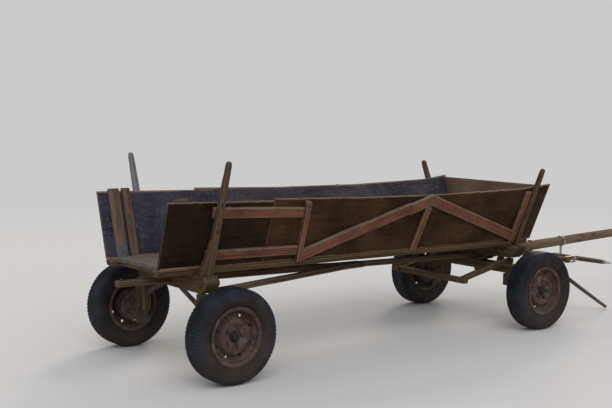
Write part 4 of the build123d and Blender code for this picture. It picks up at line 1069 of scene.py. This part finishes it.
def lathed(place, facing, outline, count):
    """Surface of revolution about any axis: each row of the outline is its radius and height along it."""
    facing = np.asarray(facing, float) / np.linalg.norm(facing)
    first = np.cross(facing, (0.31, 0.95, 0.11))
    first /= np.linalg.norm(first)
    second = np.cross(facing, first)
    angle = np.linspace(0.0, 2.0 * np.pi, count, endpoint=False)[None, :, None]
    radius, height = np.array(outline)[:, :1, None], np.array(outline)[:, 1:, None]
    points = np.asarray(place) + radius * (np.cos(angle) * first + np.sin(angle) * second) + height * facing
    return points, False, True, {}


def nail(place, facing, radius=0.0042):
    """Low round nail head on a face, with the start of its shank below."""
    outline = [(0.0, -0.004), (radius, -0.004), (radius, 0.0006), (0.7 * radius, 0.0016), (0.0, 0.002)]
    return lathed(place, facing, outline, 10)


def bolt(place, facing, radius=0.009):
    """Washer, square nut and the bolt's end, standing on a face."""
    washer = [(0.0, -0.001), (1.9 * radius, -0.001), (1.9 * radius, 0.0018), (0.0, 0.0022)]
    nut = [(0.0, 0.0), (1.42 * radius, 0.0), (1.42 * radius, 0.9 * radius), (1.2 * radius, 1.05 * radius),
           (0.0, 1.05 * radius)]
    end = [(0.0, 0.0), (0.62 * radius, 0.0), (0.62 * radius, 1.5 * radius), (0.0, 1.7 * radius)]
    return [lathed(place, facing, outline, count) for outline, count in ((washer, 20), (nut, 4), (end, 12))]


nail_spacing, nail_from_end, nail_off_middle, nail_set_in = 0.3, 0.03, 0.012, 0.0012
nails = []
for side_name, side in sides.items():
    for stations in battens[side_name]:
        middles = stations.mean(axis=1)
        outer = stations[:, np.argsort(-side * stations[0, :, 1])[:2]]
        face = outer.mean(axis=1)
        length = np.linalg.norm(middles[-1] - middles[0])
        run = (face[-1] - face[0]) / length
        facing = np.cross(run, outer[0, 0] - outer[0, 1])
        facing *= side * np.sign(facing[1]) / np.linalg.norm(facing)
        edge_way = np.cross(facing, run)
        share = np.linspace(0.0, 1.0, len(face))
        count = max(int(length / nail_spacing), 1)
        first = nail_from_end / length
        for number, along in enumerate(np.linspace(first, 1.0 - first, count + 1)):
            place = np.array([np.interp(along, share, face[:, axis]) for axis in range(3)])
            for way in ((-1, 1) if number in (0, count) else ((-1) ** number,)):
                nails.append(nail(place + way * nail_off_middle * edge_way - nail_set_in * facing, facing))
# Columns: height on the headboard, half width
for height, half_width in ((0.74, 0.38), (0.85, 0.424), (0.96, 0.468), (1.065, 0.51)):
    nails += [nail((front_x + 0.1552, side * half_width, height), (1, 0, 0)) for side in (1, -1)]
iron_piece("side_nails", nails, "chassis")

# Columns: place ahead of its axle, across, up, way the bolt's end points, its size
rear_bolts = [
    (-0.0553, 0.385, 0.578, (-1, 0, 0), 0.009), (-0.0603, 0.36, 0.48, (-1, 0, 0), 0.009),
    (-0.0603, 0.405, 0.35, (-1, 0, 0), 0.009), (0.0553, 0.3, 0.578, (1, 0, 0), 0.009),
    (0.02, 0.24, 0.5197, (0, 0, -1), 0.009),
]
front_bolts = [(-0.0553, 0.25, 0.575, (-1, 0, 0), 0.009), (0.0553, 0.25, 0.575, (1, 0, 0), 0.009)]
gear_bolts = [
    (-0.0603, 0.385, 0.35, (-1, 0, 0), 0.009), (0.0503, 0.385, 0.43, (1, 0, 0), 0.009),
    (-0.5633, 0.325, 0.385, (-1, 0, 0), 0.008), (-0.54, 0.365, 0.4081, (0, 0, 1), 0.008),
]
# Columns: pair of stakes, height of the bolt, how far the worn face lies from the stake's middle
stake_bolts = [("rear", 1.098, 0.0196), ("rear", 0.93, 0.0205), ("front", 0.96, 0.0205)]


def bolts(rows, axle_x):
    """Both sides' bolts of a table."""
    return [grid for x, y, z, facing, radius in rows for side in (1, -1)
            for grid in bolt((axle_x + x, side * y, z), facing, radius)]


grids = bolts(rear_bolts, rear_x) + bolts(front_bolts, front_x)
for end, height, face in stake_bolts:
    for side_name, side in sides.items():
        foot, top = stake_lines[end, side_name]
        outward = np.cross((1.0, 0.0, 0.0), (top - foot) / np.linalg.norm(top - foot)) * -side
        place = foot + (top - foot) * (height - foot[2]) / (top[2] - foot[2])
        grids += bolt(place + face * outward, outward, 0.0075)
grids += bolt((rear_x - 0.405, 0.0, 0.5888), (0, 0, 1), 0.008)
iron_piece("chassis_bolts", grids, "chassis")
iron_piece("gear_bolts", bolts(gear_bolts, front_x), "front_gear")

# Odd irons at the tail. A bent strap is left hanging on the left drop block, and a headed pin stands in
# the top of the right outer cleat; both are forged from flat and round bar.
# Columns: place ahead of the rear axle, up, half thickness along the cart
strap_rows = [(-0.064, 0.395, 0.0022), (-0.0645, 0.345, 0.0022), (-0.07, 0.315, 0.0024),
              (-0.083, 0.29, 0.0028), (-0.101, 0.272, 0.003), (-0.113, 0.248, 0.0028),
              (-0.116, 0.225, 0.0022)]
strap_sides = (0.372, 0.398)
# Columns: radius, height
pin_outline = [(0.0, -0.02), (0.0075, -0.02), (0.0075, 0.034), (0.012, 0.036), (0.012, 0.044),
               (0.0085, 0.047), (0.0, 0.047)]
pin_behind_middle = 0.016
strap = squared(2, [(z, rear_x + x - half, rear_x + x + half, *strap_sides) for x, z, half in strap_rows])
right_cleats = [points for points in cad_solids("tail_cleats") if points[:, 1].mean() < 0.0]
outer_cleat = min(right_cleats, key=lambda points: points[:, 0].mean())
crown = outer_cleat[np.argsort(outer_cleat[:, 2])[-4:]].mean(axis=0)
pin = lathed(crown - (pin_behind_middle, 0.0, 0.0), (0, 0, 1), pin_outline, 16)
iron_piece("tail_irons", [iron_bar(strap, 261), pin], "chassis")

# Irons that stay as the solids show them: kingpin, rub plates, knee braces, pole irons, clevises and
# swingletree irons. Smith's work of flat and round bar, rusty, with their edges rounded by wear; those
# of the pole and the draught bars are rubbed to a dull grey.
rubbed_iron = rusty_material("rubbed_iron", (0.26, 0.25, 0.23), 0.4, scale=2.2, metallic=0.3)
rusty_irons = ("kingpin", "rub_plate_upper", "rub_plate_lower", "knee_braces", "stick_arm")
rubbed_irons = ("pole_irons", "evener_straps", "swingletree_irons_left", "swingletree_irons_right")
for cad_name in rusty_irons + rubbed_irons:
    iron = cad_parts[cad_name]
    iron.data.materials.clear()
    iron.data.materials.append(rubbed_iron if cad_name in rubbed_irons else iron_finish)
    iron.modifiers.new("weld", "WELD").merge_threshold = 0.00002
    bevel = iron.modifiers.new("bevel", "BEVEL")
    bevel.width, bevel.segments, bevel.limit_method, bevel.angle_limit = 0.001, 2, "ANGLE", math.radians(40)

# Floor, light and camera. A plain pale studio floor that runs into a backdrop of the same tone, under
# soft light from all round, a broad key from the camera's side and a warm glow from low behind.
backdrop, sky_light = (0.6, 0.6, 0.6), (0.66, 0.67, 0.7)
floor_half, floor_ends_in = 60.0, (5.0, 11.0)


def stage_material():
    """Matt floor near the cart that fades with distance into the backdrop's own tone."""
    material, tree = new_material("studio_floor", sheen=0.0)
    surface = tree.nodes["surface"]
    put(surface.inputs["Base Color"], backdrop)
    put(surface.inputs["Roughness"], 1.0)
    away = node(tree, "VectorMath", "Value", {0: here(tree)}, operation="LENGTH")
    glow = node(tree, "Emission", 0, {"Color": backdrop, "Strength": 1.0})
    ends = {0: rising(away, *floor_ends_in), 1: Pattern(surface.outputs[0]), 2: glow}
    output = next(made for made in tree.nodes if made.type == "OUTPUT_MATERIAL")
    put(output.inputs["Surface"], node(tree, "MixShader", 0, ends))
    return material


floor_points = floor_half * np.array([[(-1, -1, 0), (1, -1, 0)], [(-1, 1, 0), (1, 1, 0)]])
floor = joined_piece("studio_floor", [(floor_points, False, False, {})])
floor.data.materials.append(stage_material())

world = bpy.data.worlds.new("studio")
bpy.context.scene.world = world
world.use_nodes = True
sky = world.node_tree
seen, glossy, through = [node(sky, "LightPath", f"Is {kind} Ray")
                         for kind in ("Camera", "Glossy", "Transmission")]
background = sky.nodes["Background"].inputs
put(background["Color"], mixed(larger(seen, larger(glossy, through)), sky_light, backdrop))
put(background["Strength"], 1.0)


def aimed(name, data, place, right, up, back):
    """Puts a lamp or camera at a place, turned to look away from its back direction."""
    thing = bpy.data.objects.new(name, data)
    rows = [[right[k], up[k], back[k], place[k]] for k in range(3)]
    thing.matrix_world = Matrix(rows + [[0.0, 0.0, 0.0, 1.0]])
    bpy.context.scene.collection.objects.link(thing)
    return thing


# Columns: name, direction that the light travels, strength, spread in degrees, colour
lamps = [
    ("key", (0.45, 0.75, -0.75), 1.15, 50.0, (1.0, 0.97, 0.93)),
    ("glow", (-0.7, -0.55, -0.42), 1.3, 20.0, (1.0, 0.86, 0.66)),
]
for name, travel, strength, spread_angle, colour in lamps:
    light = bpy.data.lights.new(name, "SUN")
    light.energy, light.angle, light.color = strength, math.radians(spread_angle), colour
    back = -np.array(travel) / np.linalg.norm(travel)
    right = np.cross((0.0, 0.0, 1.0), back)
    right /= np.linalg.norm(right)
    aimed(name, light, (0.0, 0.0, 0.0), right, np.cross(back, right), back)

camera_place = (-6.373171, -6.073477, 1.740644)
camera_ahead = np.array((0.61033, 0.786359, -0.095581))
camera_right = np.array((0.790568, -0.612279, 0.010843))
view = bpy.data.cameras.new("camera")
view.lens, view.sensor_width = 63.69, 36.0
camera_up = np.cross(camera_right, camera_ahead)
camera = aimed("camera", view, camera_place, camera_right, camera_up, -camera_ahead)
bpy.context.scene.camera = camera
bpy.context.scene.view_settings.view_transform = "Standard"
